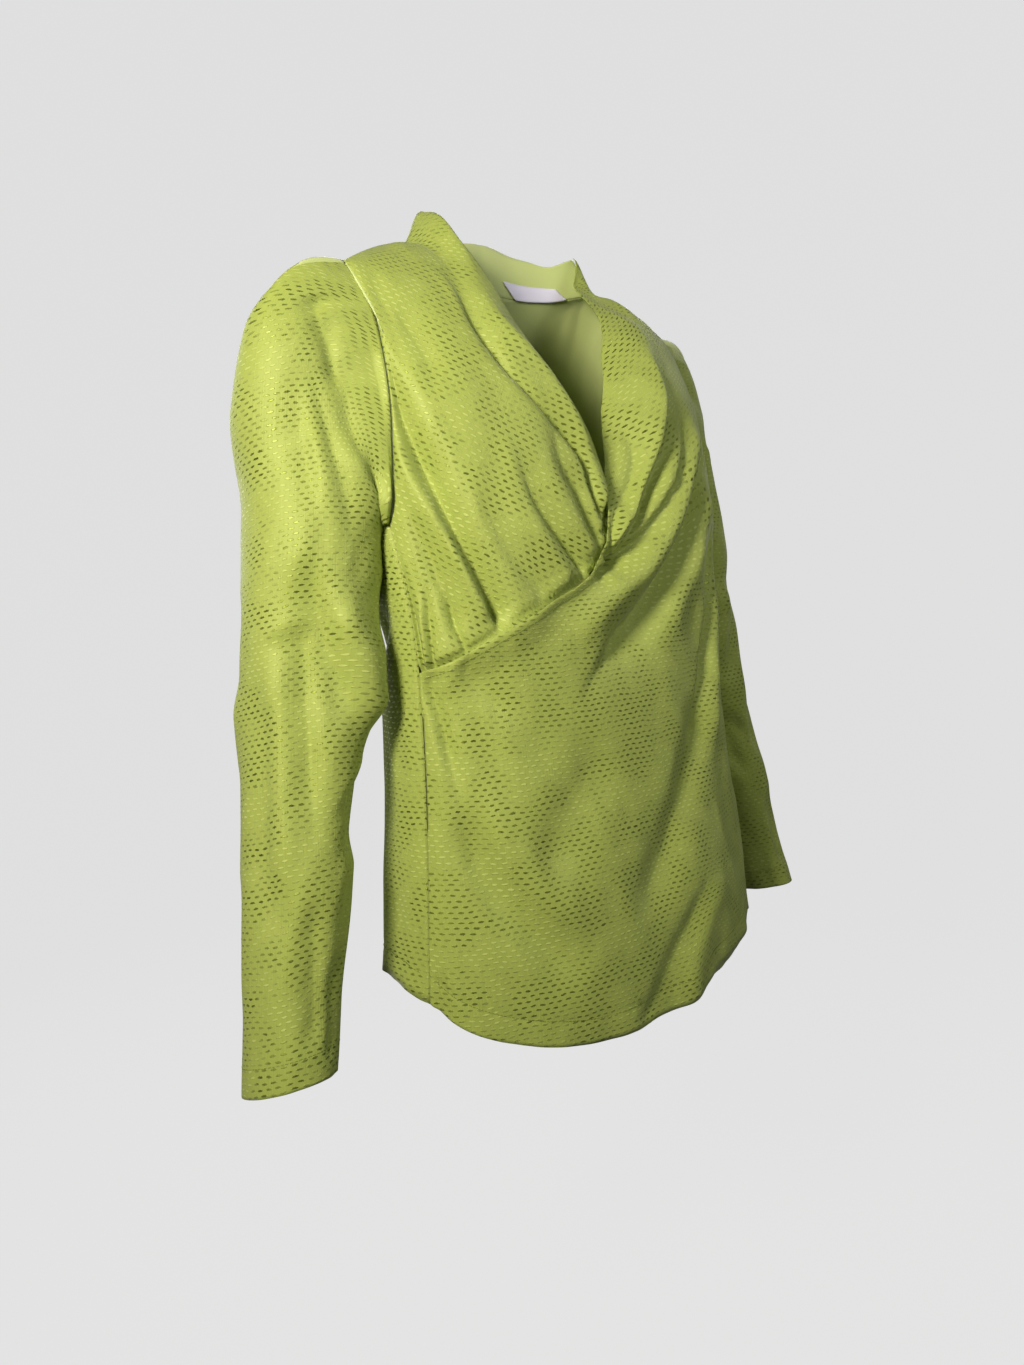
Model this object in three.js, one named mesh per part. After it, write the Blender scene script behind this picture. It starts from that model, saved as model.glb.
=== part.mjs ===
// Long-sleeved wrap top in satin, filled out as worn, with nobody inside.
// Units are millimetres. +X is the wearer's left, -Y the front and +Z up.
// The origin lies midway between the shoulder seams, at the height of the neck points.
//
// The body of the top is one smooth form through the sections below, stacked from the
// shoulder ridge to the hem. Each panel is a patch of that form between its own seam lines,
// and gets its wall by moving the patch inwards. A place on the form is (turn, row): turn
// is degrees round from centre front, positive to the wearer's left, and row counts the
// sections from the top.
import * as THREE from 'three';

// Walls and gaps
const WALL = 1.5;
const SEAM_GAP = 0.6;
const ARMHOLE_GAP = 1.4;
const LAYER_DEPTH = 4.5;
const UNDER_HEM_RAISE = 5;
const UNDER_SEAM_END = -579;

// Shoulders and neck
const NECK_POINT = 112;
const COLLAR_PEAK = 90;
const SHOULDER_TIP = 186;
const SHOULDER_ROUND = 1.35;
const STAND_HEIGHT = 36;
const LABEL_LENGTH = 62;
const LABEL_DROP = 14;
const LABEL_CENTRE = 44;
const LABEL_FOOT = 0.04;
const LABEL_WALL = 1;

// Sections of the body, from the shoulder ridge down. Depths are measured forwards and
// backwards from centreY, squareness is the power of the superellipse, tipDrop and
// tipForward slope the shoulder from neck to tip, collarRise lifts the collar, and rightLift
// is how much higher the wearer's right shoulder is carried, and how much lower the left.
const BODY_SECTIONS = [
  { name: 'ridge', z: 0, halfWidth: 186, front: 0.6, back: 0.6, centreY: 24, squareness: 2.0,
    tipDrop: 34, tipForward: 22, collarRise: 30, rightLift: 7 },
  { name: 'cap', z: -8, halfWidth: 187, front: 24, back: 22, centreY: 18, squareness: 2.0,
    tipDrop: 33, tipForward: 20, collarRise: 25, rightLift: 7 },
  { name: 'yoke', z: -28, halfWidth: 187, front: 46, back: 42, centreY: 11, squareness: 2.05,
    tipDrop: 29, tipForward: 17, collarRise: 15, rightLift: 6 },
  { name: 'collarbone', z: -64, halfWidth: 187, front: 68, back: 66, centreY: 2, squareness: 2.1,
    tipDrop: 20, tipForward: 11, collarRise: 6, rightLift: 5 },
  { name: 'chest', z: -125, halfWidth: 187, front: 84, back: 86, centreY: -10, squareness: 2.3,
    tipDrop: 8, tipForward: 4, collarRise: 0, rightLift: 3 },
  { name: 'bust', z: -215, halfWidth: 186, front: 86, back: 90, centreY: -22, squareness: 2.4,
    tipDrop: 0, tipForward: 0, collarRise: 0, rightLift: 0 },
  { name: 'ribs', z: -290, halfWidth: 184, front: 84, back: 88, centreY: -26, squareness: 2.3,
    tipDrop: 0, tipForward: 0, collarRise: 0, rightLift: 0 },
  { name: 'waist', z: -370, halfWidth: 186, front: 86, back: 88, centreY: -28, squareness: 2.25,
    tipDrop: 0, tipForward: 0, collarRise: 0, rightLift: 0 },
  { name: 'hip', z: -470, halfWidth: 193, front: 92, back: 96, centreY: -31, squareness: 2.2,
    tipDrop: 0, tipForward: 0, collarRise: 0, rightLift: 0 },
  { name: 'hem', z: -560, halfWidth: 200, front: 98, back: 102, centreY: -33, squareness: 2.2,
    tipDrop: 0, tipForward: 0, collarRise: 0, rightLift: 0 },
  { name: 'below', z: -680, halfWidth: 206, front: 102, back: 106, centreY: -34, squareness: 2.2,
    tipDrop: 0, tipForward: 0, collarRise: 0, rightLift: 0 },
];

// Seam lines of the body as (turn, z) down the side, and as (x, z) seen from the front
const SIDE_SEAM = [
  { turn: 86, z: -224 },
  { turn: 80, z: -285 },
  { turn: 77, z: -336 },
  { turn: 76, z: -440 },
  { turn: 77, z: -584 },
];
const ARMHOLE_FRONT = [
  { turn: 90, z: -34 },
  { turn: 80, z: -50 },
  { turn: 75, z: -80 },
  { turn: 76, z: -125 },
  { turn: 79, z: -170 },
  { turn: 82, z: -200 },
  { turn: 86, z: -224 },
];
const ARMHOLE_BACK = [
  { turn: 90, z: -34 },
  { turn: 99, z: -52 },
  { turn: 107, z: -85 },
  { turn: 110, z: -130 },
  { turn: 106, z: -175 },
  { turn: 97, z: -208 },
  { turn: 86, z: -224 },
];
// Front edges from the collar peak down the neckline, over the crossing and along the wrap
// to the far side seam, each written for a front that starts at the wearer's left
const OVER_EDGE = [
  { x: 90, z: 30 },
  { x: 88, z: 8 },
  { x: 76, z: -22 },
  { x: 58, z: -52 },
  { x: 42, z: -84 },
  { x: 24, z: -122 },
  { x: 8, z: -160 },
  { x: -8, z: -196 },
  { x: -25, z: -233 },
  { x: -48, z: -266 },
  { x: -96, z: -291 },
  { x: -138, z: -312 },
  { x: -165, z: -328 },
];
const UNDER_EDGE = [
  { x: 90, z: 30 },
  { x: 92, z: 8 },
  { x: 85, z: -20 },
  { x: 74, z: -50 },
  { x: 62, z: -82 },
  { x: 45, z: -114 },
  { x: 29, z: -145 },
  { x: 21, z: -175 },
  { x: 17, z: -207 },
  { x: 6, z: -240 },
  { x: -14, z: -266 },
  { x: -50, z: -286 },
  { x: -96, z: -302 },
  { x: -138, z: -318 },
  { x: -165, z: -330 },
];
// How far each neckline edge rolls inwards, by height
const OVER_ROLL = [
  { z: 10, depth: 0 },
  { z: -23, depth: 10 },
  { z: -65, depth: 28 },
  { z: -122, depth: 32 },
  { z: -160, depth: 26 },
  { z: -200, depth: 15 },
  { z: -232, depth: 4 },
  { z: -255, depth: 0 },
];
const UNDER_ROLL = [
  { z: 10, depth: 0 },
  { z: -20, depth: 4 },
  { z: -65, depth: 11 },
  { z: -122, depth: 12 },
  { z: -175, depth: 8 },
  { z: -215, depth: 2 },
  { z: -240, depth: 0 },
];
const ROLL_WIDTH = 42;
// The under front dips beneath the over front within this distance of its edge
const DIP_WIDTH = 30;

// Largest folds: points along each as (turn, z), with its half width and its height,
// which is negative for a valley
const OVER_FOLDS = [
  { name: 'rolled band valley', width: 10, height: -5,
    path: [[-12, -262], [-5, -247], [1, -212], [8, -171], [16, -130]] },
  { name: 'long valley', width: 15, height: -8,
    path: [[46, -110], [42, -148], [25, -205], [17, -241], [8, -272], [0, -302], [-10, -338], [-24, -377]] },
  { name: 'ridge above the long valley', width: 16, height: 4,
    path: [[34, -135], [17, -195], [8, -238], [0, -264], [-10, -290], [-24, -322]] },
  { name: 'ridge below the long valley', width: 20, height: 4,
    path: [[50, -165], [34, -225], [24, -268], [12, -310], [0, -350]] },
  { name: 'side valley', width: 14, height: -5, path: [[50, -190], [38, -226], [34, -263], [28, -315]] },
  { name: 'soft valley to the hem', width: 22, height: -6,
    path: [[32, -298], [24, -350], [17, -393], [8, -456], [4, -509]] },
  { name: 'right hem fold', width: 20, height: -4, path: [[-58, -470], [-50, -515], [-43, -560]] },
  { name: 'left hem fold', width: 16, height: -6, path: [[24, -540], [16, -575], [4, -610], [-5, -645]] },
  { name: 'side seam crease', width: 12, height: -4, path: [[-77, -330], [-70, -370], [-64, -420]] },
];
const UNDER_FOLDS = [
  { name: 'main valley', width: 14, height: -9,
    path: [[-76, -95], [-72, -132], [-68, -167], [-63, -210], [-59, -244], [-52, -275], [-44, -318]] },
  { name: 'ridge beside the main valley', width: 14, height: 5,
    path: [[-68, -100], [-64, -150], [-58, -200], [-51, -245], [-42, -290]] },
  { name: 'neckline valley', width: 11, height: -5,
    path: [[-40, -25], [-37, -66], [-31, -102], [-25, -130], [-19, -158], [-14, -190], [-12, -234]] },
  { name: 'crossing valley', width: 11, height: -5,
    path: [[-36, -170], [-30, -205], [-23, -240], [-15, -270]] },
  { name: 'corner gather', width: 10, height: -4, path: [[-70, -255], [-70, -300], [-71, -335]] },
];
const BACK_FOLDS = [
  { name: 'left blade drag', width: 20, height: -6, path: [[110, -190], [128, -230], [140, -290]] },
  { name: 'right blade drag', width: 20, height: -6, path: [[250, -185], [232, -235], [221, -300]] },
  { name: 'left waist fold', width: 22, height: -5, path: [[120, -330], [150, -372], [172, -385]] },
  { name: 'right waist fold', width: 22, height: -6, path: [[242, -322], [214, -360], [190, -395]] },
  { name: 'left hem fold', width: 22, height: -6, path: [[140, -460], [134, -530], [131, -605]] },
  { name: 'right hem fold', width: 24, height: -7, path: [[228, -440], [233, -520], [234, -600]] },
  { name: 'middle hem fold', width: 22, height: 5, path: [[176, -430], [181, -520], [182, -630]] },
];
const HEM = [
  { turn: 77, z: -584 },
  { turn: 60, z: -606 },
  { turn: 40, z: -624 },
  { turn: 20, z: -635 },
  { turn: 0, z: -637 },
];
const BACK_HEM = [
  { turn: 77, z: -584 },
  { turn: 94, z: -573 },
  { turn: 116, z: -575 },
  { turn: 140, z: -592 },
  { turn: 160, z: -609 },
  { turn: 180, z: -615 },
];
const BACK_NECK = [
  { x: 112, z: 0 },
  { x: 84, z: -7 },
  { x: 48, z: -13 },
  { x: 0, z: -15 },
];
const STAND_TOP = [
  { x: 90, y: 26, z: 30 },
  { x: 66, y: 42, z: 26 },
  { x: 34, y: 52, z: 22 },
  { x: 0, y: 55, z: 20 },
];

// Sleeve sections for the wearer's left, from below the armhole to the cuff
const SLEEVE_SECTIONS = [
  { z: -236, x: 223, y: 20, outer: 48, inner: 37, depth: 55 },
  { z: -320, x: 236, y: 16, outer: 47, inner: 47, depth: 53 },
  { z: -380, x: 247, y: 10, outer: 44, inner: 44, depth: 50 },
  { z: -440, x: 259, y: 3, outer: 41, inner: 41, depth: 46 },
  { z: -500, x: 272, y: -5, outer: 38, inner: 38, depth: 43 },
  { z: -560, x: 286, y: -13, outer: 35, inner: 35, depth: 39 },
  { z: -614, x: 298, y: -22, outer: 33, inner: 33, depth: 37 },
];
const CAP_REACH_TOP = 72;
const CAP_REACH_LOW = 5;
const CAP_LIFT = 5;
const CAP_FALL_TOP = 160;
const CAP_FALL_LOW = 7;

// Grids
const EDGE_KNOTS = 48;
const FOLD_FADE = 0.28;
const SEAM_FADE = 0.08;
const UNDER_FOLD_SPREAD = 1.35;
// On the shoulder ridge the wall is cut along the seam's own plane
const RIDGE_ROWS = 0.02;
const RIDGE_STEP = 0.3;
const RIDGE_WALL = 1.25;
// The shoulder slope carries on this far past the tip, as a share of the shoulder's length
const SLOPE_REACH = 1.3;
const HALVINGS = 40;
// Steps to either side that give the form's direction: in rows, and in degrees round
const NORMAL_ROWS = 0.02;
const NORMAL_TURN = 0.4;
// Millimetres round the body for one degree of turn
const GIRTH_PER_DEGREE = 3.3;
// Pieces sewn together step along their seam in the same number of cells
const SEAM_CELLS = 13;
const ARMHOLE_CELLS = 10;
const SHOULDER_CELLS = 4;
const COLLAR_CELLS = 2;
const NECK_CELLS = 8;
const FRONT_CELLS_UP = SEAM_CELLS + ARMHOLE_CELLS + SHOULDER_CELLS + COLLAR_CELLS;
const FRONT_GRID = [28, FRONT_CELLS_UP];
const BACK_GRID = [2 * (SHOULDER_CELLS + NECK_CELLS), SEAM_CELLS + ARMHOLE_CELLS];
const STAND_GRID = [2 * NECK_CELLS, 2];
const LABEL_GRID = [6, 1];
const SLEEVE_AROUND = 2 * ARMHOLE_CELLS;
const CAP_RINGS = 8;
const ARM_RINGS = 16;

const SATIN = { color: 0xa3b13c, roughness: 0.38, metalness: 0 };
const LABEL_TAPE = { color: 0xe6e2f0, roughness: 0.6, metalness: 0 };

const ROWS = BODY_SECTIONS.length - 1;
const SECTION_KEYS = Object.keys(BODY_SECTIONS[0]).filter((key) => key !== 'name');

function smooth(value) {
  const t = THREE.MathUtils.clamp(value, 0, 1);
  return t * t * (3 - 2 * t);
}

function throughFour(a, b, c, d, t) {
  const square = 2 * a - 5 * b + 4 * c - d;
  const cube = 3 * b - a - 3 * c + d;
  return 0.5 * (2 * b + (c - a) * t + square * t ** 2 + cube * t ** 3);
}

// Smooth value of every column of a table at a fractional row
function atRow(table, keys, row) {
  const last = table.length - 1;
  const place = THREE.MathUtils.clamp(row, 0, last - 1e-6);
  const index = Math.floor(place);
  const result = {};
  for (const key of keys) {
    const b = table[index][key];
    const c = table[index + 1][key];
    const a = index > 0 ? table[index - 1][key] : 2 * b - c;
    const d = index + 2 <= last ? table[index + 2][key] : 2 * c - b;
    result[key] = throughFour(a, b, c, d, place - index);
  }
  return result;
}

function shoulderSlope(x) {
  const share = (Math.abs(x) - NECK_POINT) / (SHOULDER_TIP - NECK_POINT);
  return THREE.MathUtils.clamp(share, 0, SLOPE_REACH) ** SHOULDER_ROUND;
}

function collarLift(x) {
  return smooth((NECK_POINT - Math.abs(x)) / (NECK_POINT - COLLAR_PEAK));
}

// Point of the body form
function bodyPoint(turn, row) {
  const section = atRow(BODY_SECTIONS, SECTION_KEYS, row);
  const angle = THREE.MathUtils.degToRad(turn);
  const power = 2 / section.squareness;
  const across = Math.sign(Math.sin(angle)) * Math.abs(Math.sin(angle)) ** power;
  const ahead = Math.sign(Math.cos(angle)) * Math.abs(Math.cos(angle)) ** power;
  const inFront = Math.cos(angle) > 0;
  const x = section.halfWidth * across;
  const slope = shoulderSlope(x);
  const lift = inFront ? section.collarRise * collarLift(x) : 0;
  return new THREE.Vector3(
    x,
    section.centreY - (inFront ? section.front : section.back) * ahead - section.tipForward * slope,
    section.z - section.tipDrop * slope + lift - section.rightLift * x / SHOULDER_TIP,
  );
}

// Row at which the form has a height z, either at a fixed turn or at a fixed x
function rowAt(heightAtRow, z) {
  let low = 0;
  let high = ROWS;
  for (let step = 0; step < HALVINGS; step += 1) {
    const middle = (low + high) / 2;
    if (heightAtRow(middle) > z) {
      low = middle;
    } else {
      high = middle;
    }
  }
  return (low + high) / 2;
}

// Height of the form with its two shoulders level, which the seam tables refer to
function levelHeight(turn, row) {
  return (bodyPoint(turn, row).z + bodyPoint(-turn, row).z) / 2;
}

function placeOnTurn({ turn, z }) {
  return new THREE.Vector3(turn, rowAt((row) => levelHeight(turn, row), z), 0);
}

function turnAt(x, row) {
  const section = atRow(BODY_SECTIONS, SECTION_KEYS, row);
  const share = THREE.MathUtils.clamp(Math.abs(x) / section.halfWidth, 0, 1);
  return THREE.MathUtils.radToDeg(Math.asin(share ** (section.squareness / 2))) * Math.sign(x);
}

function placeOnFront({ x, z }) {
  const row = rowAt((r) => levelHeight(turnAt(x, r), r), z);
  return new THREE.Vector3(turnAt(x, row), row, 0);
}

function placeOnBack({ x, z }) {
  const row = rowAt((r) => levelHeight(180 - turnAt(x, r), r), z);
  return new THREE.Vector3(180 - turnAt(x, row), row, 0);
}

// Smooth line through points, as a function of 0 to 1
function line(points) {
  const curve = new THREE.CatmullRomCurve3(points, false, 'centripetal');
  return (t) => curve.getPoint(t);
}

// Several lines end to end, each given its share of the whole
function chain(parts) {
  const total = parts.reduce((sum, part) => sum + part.share, 0);
  return (t) => {
    let rest = t * total;
    for (const part of parts) {
      if (rest <= part.share + 1e-9) {
        return part.at(Math.min(1, rest / part.share));
      }
      rest -= part.share;
    }
    return parts[parts.length - 1].at(1);
  };
}

function mirrored(curve) {
  return (t) => {
    const place = curve(t).clone();
    place.x = -place.x;
    return place;
  };
}

function reversed(curve) {
  return (t) => curve(1 - t);
}

// Patch between four lines that meet at the corners
function patch(bottom, top, left, right) {
  const corners = [bottom(0), bottom(1), top(0), top(1)];
  return (u, v) => {
    const place = bottom(u).multiplyScalar(1 - v);
    place.addScaledVector(top(u), v);
    place.addScaledVector(left(v), 1 - u);
    place.addScaledVector(right(v), u);
    place.addScaledVector(corners[0], -(1 - u) * (1 - v));
    place.addScaledVector(corners[1], -u * (1 - v));
    place.addScaledVector(corners[2], -(1 - u) * v);
    place.addScaledVector(corners[3], -u * v);
    return place;
  };
}

const sideSeam = line(SIDE_SEAM.map(placeOnTurn));
const armholeFront = line(ARMHOLE_FRONT.map(placeOnTurn));
const armholeBack = line(ARMHOLE_BACK.map(placeOnTurn));
const ridgeTurn = (x) => THREE.MathUtils.radToDeg(Math.asin(Math.abs(x) / SHOULDER_TIP));
const SHOULDER_X = [NECK_POINT, 122, 134, 148, 166, SHOULDER_TIP];
const COLLAR_X = [COLLAR_PEAK, 96, 104, NECK_POINT];
const frontShoulder = line(SHOULDER_X.map((x) => new THREE.Vector3(ridgeTurn(x), 0, 0)));
const collarEnd = line(COLLAR_X.map((x) => new THREE.Vector3(ridgeTurn(x), 0, 0)));
const hemLine = line(HEM.map(placeOnTurn));
const wrapCorner = sideSeam(0.5);
const wrapEnd = new THREE.Vector3(-wrapCorner.x, wrapCorner.y, 0);
const overEdge = line([...OVER_EDGE.map(placeOnFront), wrapEnd]);
const underEdge = line([...UNDER_EDGE.map(placeOnFront), wrapEnd]);
const hemFrom = (curve) => chain([
  { share: 1, at: mirrored(curve) },
  { share: 1, at: reversed(curve) },
]);
const outerSideFrom = (seam) => chain([
  { share: SEAM_CELLS, at: reversed(seam) },
  { share: ARMHOLE_CELLS, at: reversed(armholeFront) },
  { share: SHOULDER_CELLS, at: reversed(frontShoulder) },
  { share: COLLAR_CELLS, at: reversed(collarEnd) },
]);
const frontHem = hemFrom(hemLine);
const frontOuterSide = outerSideFrom(sideSeam);
const frontWrapSide = (v) => mirrored(sideSeam)(1 - v / 2);
const underHemLine = line(HEM.map(({ turn, z }) => placeOnTurn({ turn, z: z + UNDER_HEM_RAISE })));
const underSeam = line(SIDE_SEAM.map(({ turn, z }) => placeOnTurn({ turn, z: Math.max(z, UNDER_SEAM_END) })));
const underHem = hemFrom(underHemLine);
const underOuterSide = outerSideFrom(underSeam);
const underWrapSide = (v) => mirrored(underSeam)(1 - v / 2);
const overPatch = patch(frontHem, reversed(overEdge), frontWrapSide, frontOuterSide);
const underPatch = patch(underHem, reversed(underEdge), underWrapSide, underOuterSide);

const backHem = line(BACK_HEM.map(placeOnTurn));
const backShoulder = line(SHOULDER_X.map((x) => new THREE.Vector3(180 - ridgeTurn(x), 0, 0)));
const backNeck = line(BACK_NECK.map(placeOnBack));
const roundBack = (curve) => (t) => {
  const place = curve(t).clone();
  place.x = 360 - place.x;
  return place;
};
const backPatch = patch(
  chain([
    { share: 1, at: backHem },
    { share: 1, at: reversed(roundBack(backHem)) },
  ]),
  chain([
    { share: SHOULDER_CELLS, at: reversed(backShoulder) },
    { share: NECK_CELLS, at: backNeck },
    { share: NECK_CELLS, at: reversed(roundBack(backNeck)) },
    { share: SHOULDER_CELLS, at: roundBack(backShoulder) },
  ]),
  chain([
    { share: SEAM_CELLS, at: reversed(sideSeam) },
    { share: ARMHOLE_CELLS, at: reversed(armholeBack) },
  ]),
  chain([
    { share: SEAM_CELLS, at: roundBack(reversed(sideSeam)) },
    { share: ARMHOLE_CELLS, at: roundBack(reversed(armholeBack)) },
  ]),
);

// Grid of points from a surface function of u and v
function sample(surface, across, up) {
  const grid = [];
  for (let i = 0; i <= across; i += 1) {
    const column = [];
    for (let j = 0; j <= up; j += 1) {
      column.push(surface(i / across, j / up));
    }
    grid.push(column);
  }
  return grid;
}

// Direction square to a grid at one of its points
function squareTo(grid, i, j, isTube) {
  const lastI = grid.length - 1;
  const count = grid[0].length;
  const before = isTube ? (j + count - 1) % count : Math.max(0, j - 1);
  const after = isTube ? (j + 1) % count : Math.min(count - 1, j + 1);
  const along = grid[Math.min(lastI, i + 1)][j].clone().sub(grid[Math.max(0, i - 1)][j]);
  const round = grid[i][after].clone().sub(grid[i][before]);
  return along.cross(round).normalize();
}

// Closed wall between an outer grid and an inner one
function wallGeometry(outer, inner, isTube) {
  const rows = outer.length;
  const count = outer[0].length;
  const positions = [];
  const indices = [];
  for (const grid of [outer, inner]) {
    for (const point of grid.flat()) {
      positions.push(point.x, point.y, point.z);
    }
  }
  const outerAt = (i, j) => i * count + (j % count);
  const innerAt = (i, j) => rows * count + outerAt(i, j);
  const corner = (index) => new THREE.Vector3().fromArray(positions, 3 * index);
  const quad = (a, b, c, d) => {
    if (corner(a).distanceTo(corner(c)) <= corner(b).distanceTo(corner(d))) {
      indices.push(a, b, c, a, c, d);
    } else {
      indices.push(a, b, d, b, c, d);
    }
  };
  const spans = isTube ? count : count - 1;
  for (let i = 0; i < rows - 1; i += 1) {
    for (let j = 0; j < spans; j += 1) {
      quad(outerAt(i, j), outerAt(i + 1, j), outerAt(i + 1, j + 1), outerAt(i, j + 1));
      quad(innerAt(i, j), innerAt(i, j + 1), innerAt(i + 1, j + 1), innerAt(i + 1, j));
    }
  }
  for (let j = 0; j < spans; j += 1) {
    quad(outerAt(0, j), outerAt(0, j + 1), innerAt(0, j + 1), innerAt(0, j));
    quad(outerAt(rows - 1, j), innerAt(rows - 1, j), innerAt(rows - 1, j + 1), outerAt(rows - 1, j + 1));
  }
  if (!isTube) {
    const end = count - 1;
    for (let i = 0; i < rows - 1; i += 1) {
      quad(outerAt(i, 0), innerAt(i, 0), innerAt(i + 1, 0), outerAt(i + 1, 0));
      quad(outerAt(i, end), outerAt(i + 1, end), innerAt(i + 1, end), innerAt(i, end));
    }
  }
  const geometry = new THREE.BufferGeometry();
  geometry.setAttribute('position', new THREE.Float32BufferAttribute(positions, 3));
  geometry.setIndex(indices);
  if (volumeOf(positions, indices) < 0) {
    geometry.setIndex(indices.reverse());
  }
  geometry.computeVertexNormals();
  return geometry;
}

function volumeOf(positions, indices) {
  const corner = (index) => new THREE.Vector3().fromArray(positions, 3 * index);
  let sum = 0;
  for (let k = 0; k < indices.length; k += 3) {
    sum += corner(indices[k]).dot(corner(indices[k + 1]).cross(corner(indices[k + 2])));
  }
  return sum / 6;
}

function piece(name, geometry, finish) {
  const mesh = new THREE.Mesh(geometry, new THREE.MeshStandardMaterial(finish));
  mesh.name = name;
  return mesh;
}

// Outward direction of the body form, worked out from nearby points
function bodyNormal(turn, row) {
  const above = bodyPoint(turn, Math.max(0, row - NORMAL_ROWS));
  const up = above.sub(bodyPoint(turn, Math.min(ROWS, row + NORMAL_ROWS)));
  const round = bodyPoint(turn + NORMAL_TURN, row).sub(bodyPoint(turn - NORMAL_TURN, row));
  return round.cross(up).normalize();
}

// Direction straight down between the front and the back, from a place on the shoulder ridge
function ridgeFall(turn) {
  const below = bodyPoint(turn, RIDGE_STEP).add(bodyPoint(180 - turn, RIDGE_STEP)).multiplyScalar(0.5);
  return below.sub(bodyPoint(180 - turn, 0)).setX(0).normalize();
}

// Place on the form as flat millimetres: round the body from centre front, and height
function flatPlace(turn, row) {
  return new THREE.Vector2(turn * GIRTH_PER_DEGREE, levelHeight(turn, row));
}

// Nearest place on a polyline: distance, share of the way along, and which side
function nearest(points, at) {
  let best = { distance: Infinity, share: 0, side: 1 };
  for (let k = 0; k + 1 < points.length; k += 1) {
    const span = points[k + 1].clone().sub(points[k]);
    const away = at.clone().sub(points[k]);
    const share = THREE.MathUtils.clamp(away.dot(span) / span.lengthSq(), 0, 1);
    const distance = away.clone().addScaledVector(span, -share).length();
    if (distance < best.distance) {
      best = { distance, share: (k + share) / (points.length - 1), side: Math.sign(span.cross(away)) };
    }
  }
  return best;
}

const knots = (path) => path.map(([turn, z]) => new THREE.Vector2(turn * GIRTH_PER_DEGREE, z));
const preparedFolds = (table) => table.map((fold) => ({ ...fold, points: knots(fold.path) }));
const overFolds = preparedFolds(OVER_FOLDS);
const underFolds = preparedFolds(UNDER_FOLDS);
const backFolds = preparedFolds(BACK_FOLDS);

// Height of a table's folds at a flat place. Folds fade in and out along their length.
function foldHeight(folds, at) {
  let sum = 0;
  for (const fold of folds) {
    const { distance, share } = nearest(fold.points, at);
    const fade = smooth(share / FOLD_FADE) * smooth((1 - share) / FOLD_FADE);
    sum += fold.height * fade * Math.exp(-((distance / fold.width) ** 2));
  }
  return sum;
}

// Valleys alone, a little wider: what a covered layer has to stay beneath
const coveredFolds = (folds) => folds
  .filter((fold) => fold.height < 0)
  .map((fold) => ({ ...fold, width: fold.width * UNDER_FOLD_SPREAD }));

// Value of a table of heights and depths at a height
function depthAt(table, z) {
  for (let k = 0; k + 1 < table.length; k += 1) {
    if (z <= table[k].z && z >= table[k + 1].z) {
      const share = (table[k].z - z) / (table[k].z - table[k + 1].z);
      return THREE.MathUtils.lerp(table[k].depth, table[k + 1].depth, smooth(share));
    }
  }
  return 0;
}

function edgeKnots(curve, side) {
  const points = [];
  for (let k = 0; k <= EDGE_KNOTS; k += 1) {
    const place = curve(k / EDGE_KNOTS);
    points.push(flatPlace(side * place.x, place.y));
  }
  return points;
}

const overEdgeKnots = edgeKnots(overEdge, 1);
const underEdgeKnots = edgeKnots(underEdge, -1);

// The neckline edge turns inwards, deepest at the edge itself
function rollHeight(edge, rolls, at) {
  const inside = 1 - Math.min(1, nearest(edge, at).distance / ROLL_WIDTH);
  return -depthAt(rolls, at.y) * inside * inside;
}

const overFoldsBeneath = coveredFolds(overFolds);

function overRelief(turn, row, fade) {
  const at = flatPlace(turn, row);
  return fade * (foldHeight(overFolds, at) + rollHeight(overEdgeKnots, OVER_ROLL, at));
}

// The under front has its own folds where it shows, and follows the over front under it
function underRelief(turn, row, fade) {
  const at = flatPlace(turn, row);
  const own = foldHeight(underFolds, at) + rollHeight(underEdgeKnots, UNDER_ROLL, at);
  const edge = nearest(overEdgeKnots, at);
  const covered = smooth((edge.distance * edge.side + DIP_WIDTH) / DIP_WIDTH);
  const roll = edge.side > 0 ? rollHeight(overEdgeKnots, OVER_ROLL, at) : -depthAt(OVER_ROLL, at.y);
  const beneath = fade * (foldHeight(overFoldsBeneath, at) + roll) - LAYER_DEPTH;
  return THREE.MathUtils.lerp(fade * own, beneath, covered);
}

function backRelief(turn, row, fade) {
  return fade * foldHeight(backFolds, flatPlace(turn, row));
}

// Panel of the body: a patch of the form, raised or sunk by its relief, with a wall
function panel(name, surfacePatch, gridSize, relief, shiftY) {
  const places = sample(surfacePatch, ...gridSize);
  const outer = places.map((column, i) => column.map((place) => {
    const share = i / (places.length - 1);
    const fade = smooth(share / SEAM_FADE) * smooth((1 - share) / SEAM_FADE);
    const point = bodyPoint(place.x, place.y);
    const height = relief(place.x, place.y, fade);
    if (height !== 0) {
      point.addScaledVector(bodyNormal(place.x, place.y), height);
    }
    point.y += shiftY;
    return point;
  }));
  const inner = outer.map((column, i) => column.map((point, j) => {
    const place = places[i][j];
    if (place.y < RIDGE_ROWS) {
      const turn = Math.cos(THREE.MathUtils.degToRad(place.x)) > 0 ? place.x : 180 - place.x;
      return point.clone().addScaledVector(ridgeFall(turn), RIDGE_WALL * WALL);
    }
    const square = bodyNormal(place.x, place.y);
    const onSeam = i === 0 || i === outer.length - 1;
    const facing = onSeam ? square : squareTo(outer, i, j, false);
    if (facing.dot(square) < 0) {
      facing.negate();
    }
    return point.clone().addScaledVector(facing, -WALL);
  }));
  return piece(name, wallGeometry(outer, inner, false), SATIN);
}

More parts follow.
